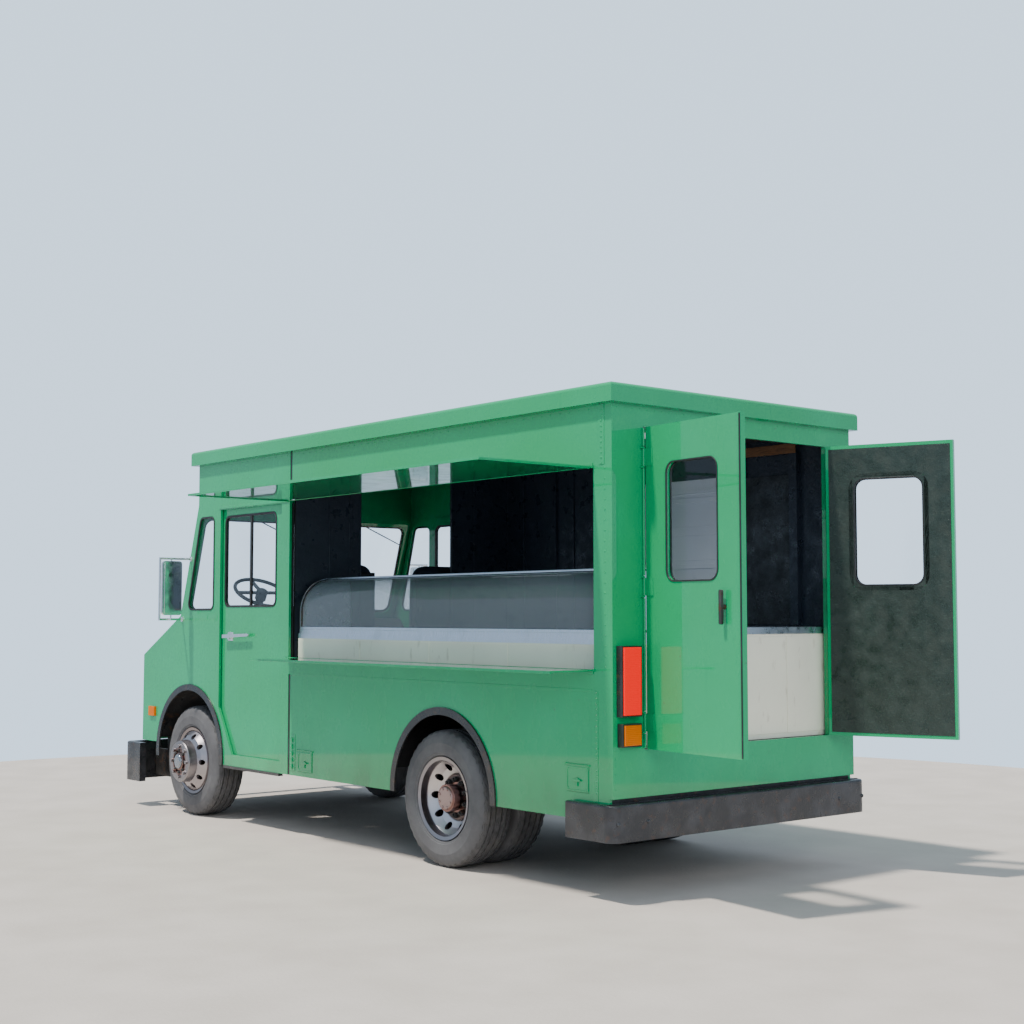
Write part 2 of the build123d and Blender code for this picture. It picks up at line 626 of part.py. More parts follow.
def dashboard():
    """Dash panel with instrument hood, steering column and shaft, firewall and engine cover."""
    dash = across([(-5160, 1330), (-5160, 1585), (-5020, 1600), (-4930, 1500), (-4930, 1360)], (-1020, 1020))
    hood = across([(-5060, 1590), (-5000, 1660), (-4930, 1640), (-4930, 1490)], (430, 770))
    low = WHEEL_CENTRE - steering_axis() * 560
    high = WHEEL_CENTRE - steering_axis() * 66
    column = rod(low, high, 34)
    column += rod(high - steering_axis() * 6, high + steering_axis() * 50, 14)
    firewall = block((-1020, 1020), (-5180, -5162), (1130, 1325))
    for side in (-1, 1):
        firewall += block((side * 335, side * 1020), (-5180, -5162), (1080, 1130))
        firewall += block((side * 335, side * 543), (-5180, -5162), (FLOOR, 1080))
    cover = block((-330, 330), (-5150, -4290), (FLOOR, 1240))
    cover -= block((-318, 318), (-5170, -4302), (840, 1228))
    return [dash + hood - column, column, firewall, cover]


def pedal(x, width, height):
    """Pendant pedal: pivot tube, arm and pad."""
    pivot = (-5090, 1300)
    body = rod((x - 20, *pivot), (x + 20, *pivot), 14)
    body += across([(pivot[0] - 8, pivot[1]), (pivot[0] + 8, pivot[1]), (-4942, 1010), (-4958, 1004)],
                   (x - 7, x + 7))
    body += across([(-4972, 1000 - height), (-4960, 995 - height), (-4936, 1012), (-4950, 1018)],
                   (x - width / 2, x + width / 2))
    return body - rod((x - 30, *pivot), (x + 30, *pivot), 8 + FIT)


def pedal_pivot():
    """Cross shaft that both pedals hang from, with its two brackets."""
    shaft = rod((360, -5090, 1300), (545, -5090, 1300), 8)
    for x in (354, 541):
        shaft += block((x, x + 10), (-5162, -5070), (1280, 1330))
    return shaft


def seats():
    """Driver's and passenger's seats: pedestal, cushion and tapering back."""
    parts = []
    for side in (-1, 1):
        x = side * 470
        parts.append(block((x - 170, x + 170), (-4180, -3780), (FLOOR, 1225)))
        parts.append(block((x - 265, x + 265), (-4260, -3760), (1225, 1350)))
        back = [(x - 300, 1352), (x + 300, 1352), (x + 304, 1930), (x + 274, 2040), (x - 274, 2040),
                (x - 304, 1930)]
        face = make_face(Polyline(*[(px, -3640, pz) for px, pz in back], close=True))
        parts.append(extrude(face, 110, dir=(0, -1, 0)))
    return parts


def interior_lining():
    """Bulkhead with its doorway, side linings with a post, and the ceiling."""
    y = (-3510, -3492)
    panels = both(block((440, LINING_X - 2), y, (FLOOR, CEILING)))
    panels.append(block((-440, 440), y, (2700, CEILING)))
    right = block((-1026, -1020), (-3488, -40), (FLOOR + 200, CEILING))
    upper_left = block((1020, LINING_X), (-3488, -40), (2500, CEILING))
    ceiling = block((-1026, 1026), (-4900, -40), (CEILING, CEILING + 8))
    post = block((-1020, -996), (-2870, -2846), (FLOOR, CEILING))
    rear_posts = [block((-1020, -980), (y0, y0 + 69), (1560, 2720)) for y0 in (-925, -433)]
    panel = block((-1020, -1008), (-856, -433), (1560, 2587))
    band = block((-1020, -980), (-925, -364), (2720, 2790))
    return [*panels, right, upper_left, ceiling, post, *rear_posts, panel, band]


def cabinets():
    """Cream display base with its plinths, and the counter at the rear right."""
    base = shell_box(DISPLAY_X, DISPLAY_Y, (1060, DISPLAY_BASE_TOP), 18)
    plinths = [block((DISPLAY_X[0] + 20, DISPLAY_X[1] - 6), span, (FLOOR, 1060))
               for span in ((DISPLAY_Y[0], -2190), (-1020, DISPLAY_Y[1]))]
    hollow = [plinth - block((DISPLAY_X[0] + 10, DISPLAY_X[1] - 26), span, (FLOOR + 15, 1045))
              for plinth, span in zip(plinths, ((DISPLAY_Y[0] + 18, -2208), (-1002, DISPLAY_Y[1] - 18)))]
    counter = block((-1016, 60), (-900, -50), (FLOOR, 1507))
    counter -= block((-998, 42), (-918, -68), (FLOOR + 18, 1489))
    return [base, *hollow, counter]


def steel_tops():
    """Steel ledge and deck of the display, its end frames, the counter top and a ribbed wall panel."""
    ledge = block((DISPLAY_X[0], DISPLAY_X[1]), DISPLAY_Y, (DISPLAY_BASE_TOP, 1490))
    deck = block((DISPLAY_X[0], DISPLAY_X[1] - 7), (DISPLAY_Y[0] + 4, DISPLAY_Y[1] - 4), (1490, DISPLAY_DECK))
    ends = []
    for y in (DISPLAY_Y[0] + 4, DISPLAY_Y[1] - 18):
        outline = display_outline(0)
        ends.append(extrude(Plane.XZ.offset(-y) * outline, -14))
    y = (DISPLAY_Y[0] + 18, DISPLAY_Y[1] - 18)
    top = block((DISPLAY_X[0], 772), y, (DISPLAY_TOP - 8, DISPLAY_TOP + 6))
    counter = block((-1018, 66), (-906, -44), (1507, 1549))
    wall = block((-1020, -1012), (-2380, -970), (1300, 2600))
    ribs = [block((-1012, -1004), (-2380, -970), (z, z + 30)) for z in range(1340, 2580, 72)]
    return [ledge, deck, *ends, top, counter, fuse_all([wall, *ribs])]


def display_outline(inset):
    """Cross-section of the display's glass, upright in front and curved back to a flat top."""
    x = DISPLAY_X[1] - 10 - inset
    top = DISPLAY_TOP - inset
    r = DISPLAY_CURVE - inset
    lines = [Line((DISPLAY_X[0], DISPLAY_DECK), (x, DISPLAY_DECK)),
             Line((x, DISPLAY_DECK), (x, top - r)),
             CenterArc((x - r, top - r), r, 0, 90),
             Line((x - r, top), (DISPLAY_X[0], top)),
             Line((DISPLAY_X[0], top), (DISPLAY_X[0], DISPLAY_DECK))]
    return make_face(Wire(lines))


def display_glass():
    """Curved front glass between the end frames; the server's side is open."""
    y0 = DISPLAY_Y[0] + 18
    length = DISPLAY_Y[1] - 18 - y0
    outer = extrude(Plane.XZ.offset(-y0) * display_outline(8.5), -length)
    inner = extrude(Plane.XZ.offset(-y0) * display_outline(14.5), -length)
    front = outer - inner
    front -= block((0, 790), (DISPLAY_Y[0] - 5, DISPLAY_Y[1] + 5), (1400, 2000))
    return front


def fixed_glass():
    """Windscreen, both quarter windows and the headlamp lenses."""
    middle = (SCREEN_V[0] + SCREEN_V[1]) / 2
    outline = RectangleRounded(2 * SCREEN_X - 2, SCREEN_V[1] - SCREEN_V[0] - 2, SCREEN_R)
    screen = extrude(screen_plane().offset(-12) * Pos(0, middle) * outline, 6)
    quarters = both(quarter_cutter((HALF_WIDTH - 14, HALF_WIDTH - 8), 1))
    lenses = both(rod((LAMP_X, NOSE_Y + 2, LAMP_Z), (LAMP_X, NOSE_Y + 8, LAMP_Z), LAMP_R - 10))
    return [screen, *quarters, *lenses]


def arch_trims():
    """Lips round the four wheel arches and the edge strips under the cab doors."""
    parts = []
    x = (HALF_WIDTH, HALF_WIDTH + TRIM_PROUD)
    for y, z, radius in (FRONT_ARCH, REAR_ARCH):
        ring = drum((y, z), radius, x) - drum((y, z), radius - TRIM_WIDTH, (x[0] - 5, x[1] + 5))
        ring -= block((x[0] - 9, x[1] + 9), (y - 700, y + 700), (-200, SKIRT))
        parts += both(ring)
    strip = block((HALF_WIDTH - 30, HALF_WIDTH + 8), (-4429, -3600), (SKIRT - 21, SKIRT))
    return [*parts, *both(strip)]


def wrap_bumper(half, y_face, y_return, z, depth):
    """Bumper bar with a return along each side; y_face is its outer face."""
    outward = 1 if y_face > y_return else -1
    bar = block((-half, half), (y_face, y_return), z)
    bar = fillet(bar.edges().filter_by(Axis.Z).group_by(Axis.Y)[-1 if outward > 0 else 0], 70)
    bar = fillet(bar.edges().group_by(Axis.Z)[-1].filter_by(lambda e: abs(e.center().Y - y_return) > 5), 12)
    return bar - block((-half + depth, half - depth), (y_face - outward * depth, y_return - outward * 50),
                       (z[0] - 5, z[1] + 5))


def bumpers():
    """Front and rear bumpers."""
    front = wrap_bumper(1130, -6090, -5796, (214, 540), 55)
    rear = wrap_bumper(1140, 55, -340, (350, 558), 48)
    return [front, rear]


def lamp_housings():
    """Tail lamp housings on both rear posts and headlamp bowls in the nose."""
    tall = block((896, 1052), (0, 48), (1048, 1450)) - block((904, 1044), (40, 60), (1057, 1442))
    low = block((898, 1046), (0, 48), (878, 1010)) - block((906, 1038), (40, 60), (886, 1002))
    bowl = rod((LAMP_X, NOSE_Y + 8, LAMP_Z), (LAMP_X, NOSE_Y + 90, LAMP_Z), LAMP_R - 1)
    bowl -= rod((LAMP_X, NOSE_Y + 7, LAMP_Z), (LAMP_X, NOSE_Y + 70, LAMP_Z), LAMP_R - 12)
    return [*both(tall), *both(low), *both(bowl)]


def red_lenses():
    """Tall red lenses of the tail lamps."""
    lens = fillet(block((904.5, 1043.5), (40, 56), (1057.5, 1441.5)).edges().group_by(Axis.Y)[-1], 6)
    return both(lens)


def amber_lenses():
    """Amber rear turn lenses and side markers on the front wings."""
    lens = fillet(block((906.5, 1037.5), (40, 56), (886.5, 1001.5)).edges().group_by(Axis.Y)[-1], 6)
    marker = block((HALF_WIDTH, HALF_WIDTH + 20), (-5714, -5606), (776, 856))
    marker = fillet(marker.edges().group_by(Axis.X)[-1], 5)
    return [*both(lens), *both(marker)]


def mirror_arms():
    """Bent tube loop on each windscreen pillar with studs for the mirror head."""
    x = 1345
    y = -5050
    loop = rod((1086, -5018, 2086), (x, y, 2086), 9)
    loop += rod((1086, -5158, 1592), (x, y, 1592), 9)
    loop += rod((x, y, 1583), (x, y, 2095), 9)
    loop += rod((1250, -5038.5, 2060), (1250, -5038.5, 2086), 6)
    loop += rod((1250, -5088.8, 1592), (1250, -5038.5, 1592), 6)
    loop += rod((1250, -5038.5, 1586), (1250, -5038.5, 1632), 6)
    for foot in ((-5018, 2086), (-5158, 1592)):
        loop += rod((1081, *foot), (1089, *foot), 22)
    return both(loop)


def mirror_head():
    """Tall mirror head that turns on two studs."""
    head = block((1161, 1330), (-5062, -5022), (1626, 2066))
    head = fillet(head.edges().filter_by(Axis.Y), 24)
    head = fillet(head.edges().group_by(Axis.Y)[0], 10)
    return head - rod((1250, -5038.5, 2055), (1250, -5038.5, 2070), 6 + FIT) \
        - rod((1250, -5038.5, 1620), (1250, -5038.5, 1634), 6 + FIT)


def cab_door():
    """Sliding door leaf with a rounded window and its frame posts."""
    leaf = across(DOOR_LEAF, DOOR_X)
    cut = side_window(DOOR_WINDOW_Y, DOOR_WINDOW_Z, 60, (DOOR_X[0] - 5, DOOR_X[1] + 5))
    return leaf - cut


def cab_door_glass():
    """Pane of the sliding door's window."""
    pane = side_window((DOOR_WINDOW_Y[0] + 0.5, DOOR_WINDOW_Y[1] - 0.5),
                       (DOOR_WINDOW_Z[0] + 0.5, DOOR_WINDOW_Z[1] - 0.5), 59.5, (1042, 1047))
    return pane


def cab_handle():
    """Lever handle standing off the door on a round boss."""
    boss = rod((DOOR_X[1] + 0.3, -4400, 1458), (1078, -4400, 1458), 22)
    lever = across([(-4470, 1444), (-4470, 1472), (-4075, 1484), (-4060, 1476), (-4075, 1462)], (1078, 1094))
    lever = fillet(lever.edges().filter_by(Axis.X), 4)
    return boss + lever


def rear_leaf(side):
    """Rear door leaf in its closed place, with window and hinge knuckles."""
    leaf = block(REAR_LEAF_X, (-REAR_LEAF_T, 0), (REAR_OPENING_Z[0] + 4, REAR_OPENING_Z[1] - 4))
    leaf -= rear_window((REAR_HINGE[0] - REAR_WINDOW_X[1], REAR_HINGE[0] - REAR_WINDOW_X[0]),
                        REAR_WINDOW_Z, (-REAR_LEAF_T - 5, 5), 70)
    for z in (1010, 1788, 2540):
        leaf += rod((*REAR_HINGE, z - 51), (*REAR_HINGE, z + 51), 8)
        leaf += block((760, REAR_HINGE[0]), (0, 5), (z - 51, z + 51))
        leaf -= rod((*REAR_HINGE, z - 60), (*REAR_HINGE, z + 60), 4 + FIT)
    return swing(leaf, side)


def rear_glass(side):
    """Window pane of a rear door."""
    x = (REAR_HINGE[0] - REAR_WINDOW_X[1] + 0.5, REAR_HINGE[0] - REAR_WINDOW_X[0] - 0.5)
    z = (REAR_WINDOW_Z[0] + 0.5, REAR_WINDOW_Z[1] - 0.5)
    return swing(rear_window(x, z, (-20, -14), 69.5), side)


def rear_latch(side):
    """Upright bar handle on a spindle near the door's free edge, with an inside lever."""
    spindle = rod((LATCH_X, 0.3, LATCH_Z), (LATCH_X, 24, LATCH_Z), 14)
    bar = block((LATCH_X - 12, LATCH_X + 12), (20, 36), (LATCH_Z - 94, LATCH_Z + 94))
    bar = fillet(bar.edges().filter_by(Axis.Y), 10)
    return swing(spindle + bar, side)


def swing(shape, side):
    """Turn a closed rear door part to the angle it stands open at, on its own side."""
    angle = LEFT_ANGLE if side > 0 else RIGHT_ANGLE
    pivot = Vector(*REAR_HINGE, 0)
    turned = Location(pivot) * Location((0, 0, 0), (0, 0, -angle)) * Location(-pivot) * shape
    return turned if side > 0 else to_right(turned)


def awning():
    """Upper hatch flap, held level, with a hinge barrel along the wall."""
    y = (HATCH_Y[0] + 3, HATCH_Y[1] - 3)
    flap = block((HINGE_X, AWNING_EDGE), y, (AWNING_Z - FLAP_T / 2, AWNING_Z + FLAP_T / 2))
    flap += rod((HINGE_X, y[0], AWNING_Z), (HINGE_X, y[1], AWNING_Z), 6.5)
    return flap - rod((HINGE_X, y[0] - 5, AWNING_Z), (HINGE_X, y[1] + 5, AWNING_Z), 3.5 + FIT)


def serving_shelf():
    """Lower hatch flap, level as a serving shelf, with a hinge barrel along the wall."""
    y = (HATCH_Y[0] + 3, HATCH_Y[1] - 3)
    flap = block((HINGE_X, SHELF_EDGE), y, (SHELF_Z - FLAP_T / 2, SHELF_Z + FLAP_T / 2))
    flap += rod((HINGE_X, y[0], SHELF_Z), (HINGE_X, y[1], SHELF_Z), 6.5)
    return flap - rod((HINGE_X, y[0] - 5, SHELF_Z), (HINGE_X, y[1] + 5, SHELF_Z), 3.5 + FIT)


def hood():
    """Raised hood panel with two hinge barrels at its rear edge."""
    plane = hood_plane()
    outline = Pos(0, sum(HOOD_V) / 2) * RectangleRounded(2 * HOOD_X - 10, HOOD_V[1] - HOOD_V[0] - 10, 26)
    panel = extrude(plane.offset(-8) * outline, 14)
    axis_v, axis_w = HOOD_HINGE
    for x in (-450, 450):
        panel += plane * Pos(x, axis_v - 12, axis_w - 1.5) * Box(96, 24, 3)
        panel += hood_barrel(x, 48, 8)
        panel -= hood_barrel(x, 60, 4 + FIT)
    return panel


def hood_barrel(x, half_length, radius):
    """Bar along the hood's hinge line, centred on x."""
    plane = hood_plane()
    start = plane.from_local_coords(Vector(x - half_length, *HOOD_HINGE))
    end = plane.from_local_coords(Vector(x + half_length, *HOOD_HINGE))
    return rod(start, end, radius)


def hood_pins():
    """Hinge pins of the hood with an ear at each end, on the cowl."""
    plane = hood_plane()
    axis_v, axis_w = HOOD_HINGE
    pins = []
    for x in (-450, 450):
        pin = hood_barrel(x, 62, 4)
        for ear in (x - 54, x + 54):
            pin += plane * Pos(ear, axis_v, axis_w / 2 + 3) * Box(6, 16, axis_w + 6)
        pins.append(pin)
    return pins


def wall_flap(limits):
    """Small flap flush in its wall opening, hung from a barrel along its top edge."""
    (y0, y1), (z0, z1) = limits
    flap = block((HALF_WIDTH - 6, HALF_WIDTH + 3), (y0 + 2, y1 - 2), (z0 + 2, z1 - 3))
    flap += block((HALF_WIDTH + 1, HALF_WIDTH + 3), (y0 + 2, y1 - 2), (z1 - 3, z1 + 5))
    flap += rod((HALF_WIDTH + 5, y0 + 2, z1 + 5), (HALF_WIDTH + 5, y1 - 2, z1 + 5), 4)
    return flap - rod((HALF_WIDTH + 5, y0 - 5, z1 + 5), (HALF_WIDTH + 5, y1 + 5, z1 + 5), 2 + FIT)


def wiper(x):
    """Wiper arm and blade hanging from the top edge of the windscreen."""
    plane = screen_plane()
    root = plane.from_local_coords(Vector(x, WIPER_V, 2))
    along = plane.x_dir * -cos(radians(WIPER_DROP)) - plane.y_dir * sin(radians(WIPER_DROP))
    out = plane.z_dir
    body = rod(root, root + out * 20, 14)
    body += rod(root + out * 14, root + out * 14 + along * 300, 5)
    body += rod(root + out * 14 + along * 300, root + out * 4 + along * 330, 4)
    blade = Plane(origin=root + out * 1 + along * (WIPER_LENGTH / 2 + 60), x_dir=along, z_dir=out)
    body += blade * Box(WIPER_LENGTH - 120, 9, 12)
    return body - rod(root - out, root + out * 16.3, 6 + FIT)


os.makedirs("parts", exist_ok=True)
for side, name in ((1, "left"), (-1, "right")):
    write(f"rear_door_{name}", rear_leaf(side))
    write(f"rear_door_{name}_glass", rear_glass(side))
    write(f"rear_latch_{name}", rear_latch(side))
    write(f"front_tyre_{name}", at_axle(tyre(TYRE_X, side), FRONT_Y))
    write(f"front_rim_{name}", front_rim(side))
    rear_pair = [at_axle(tyre(x, side), REAR_Y) for x in (TYRE_X, TYRE_X - DUAL_SPACING)]
    write(f"rear_tyres_{name}", *rear_pair)
    write(f"rear_rims_{name}", rear_rims(side))
    write(f"knuckle_{name}", knuckle(side, FIT if side > 0 else 0.6))
for name, place in (("left", lambda shape: shape), ("right", to_right)):
    write(f"cab_door_{name}", place(cab_door()))
    write(f"cab_door_{name}_glass", place(cab_door_glass()))
    write(f"cab_handle_{name}", place(cab_handle()))
    write(f"mirror_{name}", place(mirror_head()))
write("cab_shell", *cab_shell())
write("wall_left", *wall_left())
write("wall_right", *wall_right())
write("rear_frame", *rear_frame())
write("roof", *roof())
write("floor", *floor())
write("chassis_frame", *chassis_frame())
write("axle_beams", *axle_beams())
write("leaf_springs", *leaf_springs())
write("engine", *engine())
write("drive_shaft", drive_shaft())
write("tank_and_exhaust", *tank_and_exhaust())
write("tie_rod", tie_rod())
write("steering_wheel", steering_wheel())
write("dashboard", *dashboard(), pedal_pivot())
write("brake_pedal", pedal(485, 90, 30))
write("accelerator_pedal", pedal(400, 50, 90))
write("seats", *seats())
write("interior_lining", *interior_lining())
write("cabinets", *cabinets())
write("steel_tops", *steel_tops())
write("display_glass", display_glass())
write("fixed_glass", *fixed_glass())
write("arch_trims", *arch_trims())
write("bumpers", *bumpers())
write("lamp_housings", *lamp_housings())
write("red_lenses", *red_lenses())
write("amber_lenses", *amber_lenses())
write("mirror_arms", *mirror_arms())
write("awning", awning())
write("serving_shelf", serving_shelf())
write("hood", hood())
write("fuel_flap", wall_flap(FUEL_FLAP))
write("locker_flap", wall_flap(LOCKER_FLAP))
write("wiper_left", wiper(WIPER_X[0]))
write("wiper_right", wiper(WIPER_X[1]))
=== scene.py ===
"""Looks of a step van fitted out as a food truck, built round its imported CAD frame.

Places are given in millimetres from the middle of the rear wall at ground level, +X the truck's
left side and -Y the nose, and are put into the row frame from the tyres' boxes, so they follow the CAD.
"""
import bpy
import bmesh
import json
import math
from mathutils import Matrix, Vector


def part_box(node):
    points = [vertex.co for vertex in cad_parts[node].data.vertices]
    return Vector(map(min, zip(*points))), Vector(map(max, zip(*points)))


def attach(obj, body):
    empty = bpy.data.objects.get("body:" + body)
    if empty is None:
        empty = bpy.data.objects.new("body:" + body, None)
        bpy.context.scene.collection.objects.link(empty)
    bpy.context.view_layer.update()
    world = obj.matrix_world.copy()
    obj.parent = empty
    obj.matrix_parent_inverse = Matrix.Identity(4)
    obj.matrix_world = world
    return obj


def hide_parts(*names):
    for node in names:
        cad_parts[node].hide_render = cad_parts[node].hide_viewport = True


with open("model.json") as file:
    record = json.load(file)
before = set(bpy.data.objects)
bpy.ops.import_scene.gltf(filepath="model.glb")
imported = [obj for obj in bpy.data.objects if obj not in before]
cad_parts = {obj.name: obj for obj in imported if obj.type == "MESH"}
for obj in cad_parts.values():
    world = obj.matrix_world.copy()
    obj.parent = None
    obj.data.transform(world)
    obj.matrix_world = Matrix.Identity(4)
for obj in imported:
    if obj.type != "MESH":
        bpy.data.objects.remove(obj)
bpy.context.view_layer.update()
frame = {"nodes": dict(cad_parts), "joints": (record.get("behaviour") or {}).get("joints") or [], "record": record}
NODES = frame["nodes"]
JOINTS = {joint["name"]: joint for joint in frame["joints"]}
SLOTS = {entry["node"]: entry["material_slot"] for entry in frame["record"]["subparts"]}
SIDES = (("left", 1), ("right", -1))

TYRE_LOW, TYRE_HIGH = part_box("front_tyre_left")
REAR_LOW, REAR_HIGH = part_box("rear_tyres_left")
CENTRE_X = (TYRE_HIGH.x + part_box("front_tyre_right")[0].x) / 2
TYRE_R = (TYRE_HIGH.z - TYRE_LOW.z) / 2
FRONT_AXLE = (TYRE_LOW.y + TYRE_HIGH.y) / 2
REAR_AXLE = (REAR_LOW.y + REAR_HIGH.y) / 2
WALL_Y = REAR_AXLE + 1.646

# Driving places in millimetres on the truck.
WALL_X = 1081
FRONT_Y, REAR_Y = (FRONT_AXLE - WALL_Y) * 1000, (REAR_AXLE - WALL_Y) * 1000
AXLE_Z = TYRE_R * 1000
FLOOR_Z = 857
LINING_TOP = 2800
BULKHEAD_Y = -3492
DRIP_Z = 2818
RAIL_Z = (1183, 1199)
HATCH_Y, HATCH_TOP, HATCH_SILL = (-3486, -159), 2481, 1308
FUEL_FLAP, LOCKER_FLAP = ((-394, -199), (604, 758)), ((-3341, -3143), (486, 636))
CAB_DOOR_X, CAB_WINDOW = (1034, 1054), ((-4505, -3713), (1688, 2416), 60)
QUARTER_WINDOW = ((-4868, -4630), (1664, 2422), 58, 210)
REAR_DOOR_BACK, REAR_DOOR_Z = -34, (865, 2710)
REAR_WINDOW = ((194, 644), (1812, 2500), 70)
DISPLAY_Y, DISPLAY_DECK = (-3442, -170), 1520
COUNTER_TOP = 1562
SHEET_Y = (-2384, -966)
SEAT_X, SEAT_Z = 470, 1240
TYRE_X, INNER_TYRE_X = 921, 631
LUGS, LUG_DEPTH, TREAD_START = 120, 0.008, 0.424
FRONT_NUTS, NUT_CIRCLE, HUB_FACE = 8, 88, 1157
REAR_NUTS, STUD_CIRCLE, DISH_FACE = 10, 116, 925
HUB_BOLTS, BOLT_CIRCLE, HUB_END = 8, 62, 1010
VALVE_CIRCLE, VALVE_X = 236, 1022
CUSHION_VOXEL, CUSHION_CAP, CLOTH_FRAMES = 0.012, 0.010, 15


def at(x, y, z):
    """Point in the row frame from millimetres on the truck."""
    return Vector((CENTRE_X + x / 1000, WALL_Y + y / 1000, z / 1000))


# ---------------------------------------------------------------- materials

class Paint:
    """A procedural material built up in steps on one Principled shader."""

    def __init__(self, name, colour, metallic=0.0, roughness=0.4, coat=0.0):
        self.material = bpy.data.materials.new(name)
        self.material.use_nodes = True
        self.nodes = self.material.node_tree.nodes
        self.links = self.material.node_tree.links
        self.shader = self.nodes["Principled BSDF"]
        self.coords = self.nodes.new("ShaderNodeTexCoord").outputs["Object"]
        self.shader.inputs["Base Color"].default_value = (*colour, 1)
        self.shader.inputs["Metallic"].default_value = metallic
        self.shader.inputs["Roughness"].default_value = roughness
        self.shader.inputs["Coat Weight"].default_value = coat
        self.shader.inputs["Coat Roughness"].default_value = 0.06
        self.colour = None

    def noise(self, scale, detail=4.0, stretch=(1, 1, 1), low=0.35, high=0.65):
        """Noise between two thresholds, 0 to 1, on stretched object coordinates."""
        mapping = self.nodes.new("ShaderNodeMapping")
        mapping.inputs["Scale"].default_value = stretch
        self.links.new(self.coords, mapping.inputs["Vector"])
        noise = self.nodes.new("ShaderNodeTexNoise")
        noise.inputs["Scale"].default_value = scale
        noise.inputs["Detail"].default_value = detail
        self.links.new(mapping.outputs[0], noise.inputs["Vector"])
        return self.ramp(noise.outputs["Fac"], low, high)

    def ramp(self, fac, low, high, low_value=0.0, high_value=1.0):
        """Map a value from one range to another, clamped."""
        node = self.nodes.new("ShaderNodeMapRange")
        limits = (("From Min", low), ("From Max", high), ("To Min", low_value), ("To Max", high_value))
        for name, value in limits:
            node.inputs[name].default_value = value
        self.links.new(fac, node.inputs["Value"])
        return node.outputs["Result"]

    def times(self, a, b):
        """Product of two factors."""
        node = self.nodes.new("ShaderNodeMath")
        node.operation = "MULTIPLY"
        for index, value in enumerate((a, b)):
            if isinstance(value, float):
                node.inputs[index].default_value = value
            else:
                self.links.new(value, node.inputs[index])
        return node.outputs[0]

    def axis(self, letter):
        """One object coordinate."""
        split = self.nodes.new("ShaderNodeSeparateXYZ")
        self.links.new(self.coords, split.inputs[0])
        return split.outputs[letter]

    def radius(self, axle_y, axle_z):
        """Distance from a wheel's axle line."""
        mapping = self.nodes.new("ShaderNodeMapping")
        mapping.inputs["Location"].default_value = (0, -axle_y, -axle_z)
        mapping.inputs["Scale"].default_value = (0, 1, 1)
        self.links.new(self.coords, mapping.inputs["Vector"])
        length = self.nodes.new("ShaderNodeVectorMath")
        length.operation = "LENGTH"
        self.links.new(mapping.outputs[0], length.inputs[0])
        return length.outputs["Value"]

    def tint(self, fac, colour):
        """Mix a further colour over what is there by a factor."""
        mix = self.nodes.new("ShaderNodeMix")
        mix.data_type = "RGBA"
        self.links.new(fac, mix.inputs["Factor"])
        if self.colour is None:
            mix.inputs["A"].default_value = self.shader.inputs["Base Color"].default_value
        else:
            self.links.new(self.colour, mix.inputs["A"])
        mix.inputs["B"].default_value = (*colour, 1)
        self.colour = mix.outputs["Result"]
        self.links.new(self.colour, self.shader.inputs["Base Color"])
        return self

    def rough(self, fac, low, high):
        """Roughness between two values by a factor."""
        self.links.new(self.ramp(fac, 0, 1, low, high), self.shader.inputs["Roughness"])
        return self

    def bump(self, fac, distance, strength=1.0):
        """Surface relief from a factor."""
        node = self.nodes.new("ShaderNodeBump")
        node.inputs["Distance"].default_value = distance
        node.inputs["Strength"].default_value = strength
        self.links.new(fac, node.inputs["Height"])
        self.links.new(node.outputs[0], self.shader.inputs["Normal"])
        return self

    def grime(self, colour=(0.05, 0.035, 0.022), height=0.75, weight=0.75):
        """Road dirt that fades out upwards, in patches and in runs."""
        fade = self.ramp(self.axis("Z"), 0.35, height, 1.0, 0.0)
        patches = self.noise(3.0, 8.0, (1, 1, 0.5), 0.38, 0.72)
        self.tint(self.times(self.times(fade, patches), weight), colour)
        return self

    def glow(self, colour, strength):
        """Light given off."""
        self.shader.inputs["Emission Color"].default_value = (*colour, 1)
        self.shader.inputs["Emission Strength"].default_value = strength
        return self


def green_paint(name, roughness=0.22):
    paint = Paint(name, (0.0, 0.335, 0.108), 0.0, roughness, 1.0)
    paint.shader.inputs["Coat Roughness"].default_value = 0.03
    paint.shader.inputs["Specular IOR Level"].default_value = 0.12
    cloudy = paint.noise(1.1, 4.0, (1, 1, 1.4), 0.3, 0.75)
    paint.tint(cloudy, (0.0, 0.37, 0.14))
    runs = paint.noise(5.5, 7.0, (6, 6, 0.6), 0.60, 0.85)
    paint.tint(paint.times(runs, 0.14), (0.006, 0.20, 0.07))
    chips = paint.noise(34.0, 3.0, (1, 1, 1), 0.735, 0.76)
    paint.tint(paint.times(chips, 0.6), (0.08, 0.10, 0.085))
    paint.grime(weight=0.6)
    paint.rough(paint.noise(9.0, 7.0, (1, 1, 0.6), 0.3, 0.75), roughness - 0.09, roughness + 0.16)
    return paint.bump(paint.noise(1.6, 2.0, (1, 1, 1), 0.2, 0.8), 0.0012, 0.4).material


def worn_black(name, colour=(0.016, 0.016, 0.017), roughness=0.4, rust=0.5, metallic=0.2, coat=0.0):
    paint = Paint(name, colour, metallic, roughness, coat)
    paint.tint(paint.noise(7.0, 8.0, (1, 1, 1), 0.45, 0.8), tuple(c * 2.4 for c in colour))
    spots = paint.noise(20.0, 9.0, (1, 1, 1), 0.60, 0.66)
    paint.tint(paint.times(spots, rust), (0.10, 0.045, 0.022))
    paint.grime((0.085, 0.075, 0.065), 0.7, 0.22)
    paint.rough(paint.noise(16.0, 8.0, (1, 1, 1), 0.3, 0.7), max(roughness - 0.16, 0.12), roughness + 0.2)
    return paint.bump(paint.noise(70.0, 6.0, (1, 1, 1), 0.3, 0.7), 0.0012, 0.6).material


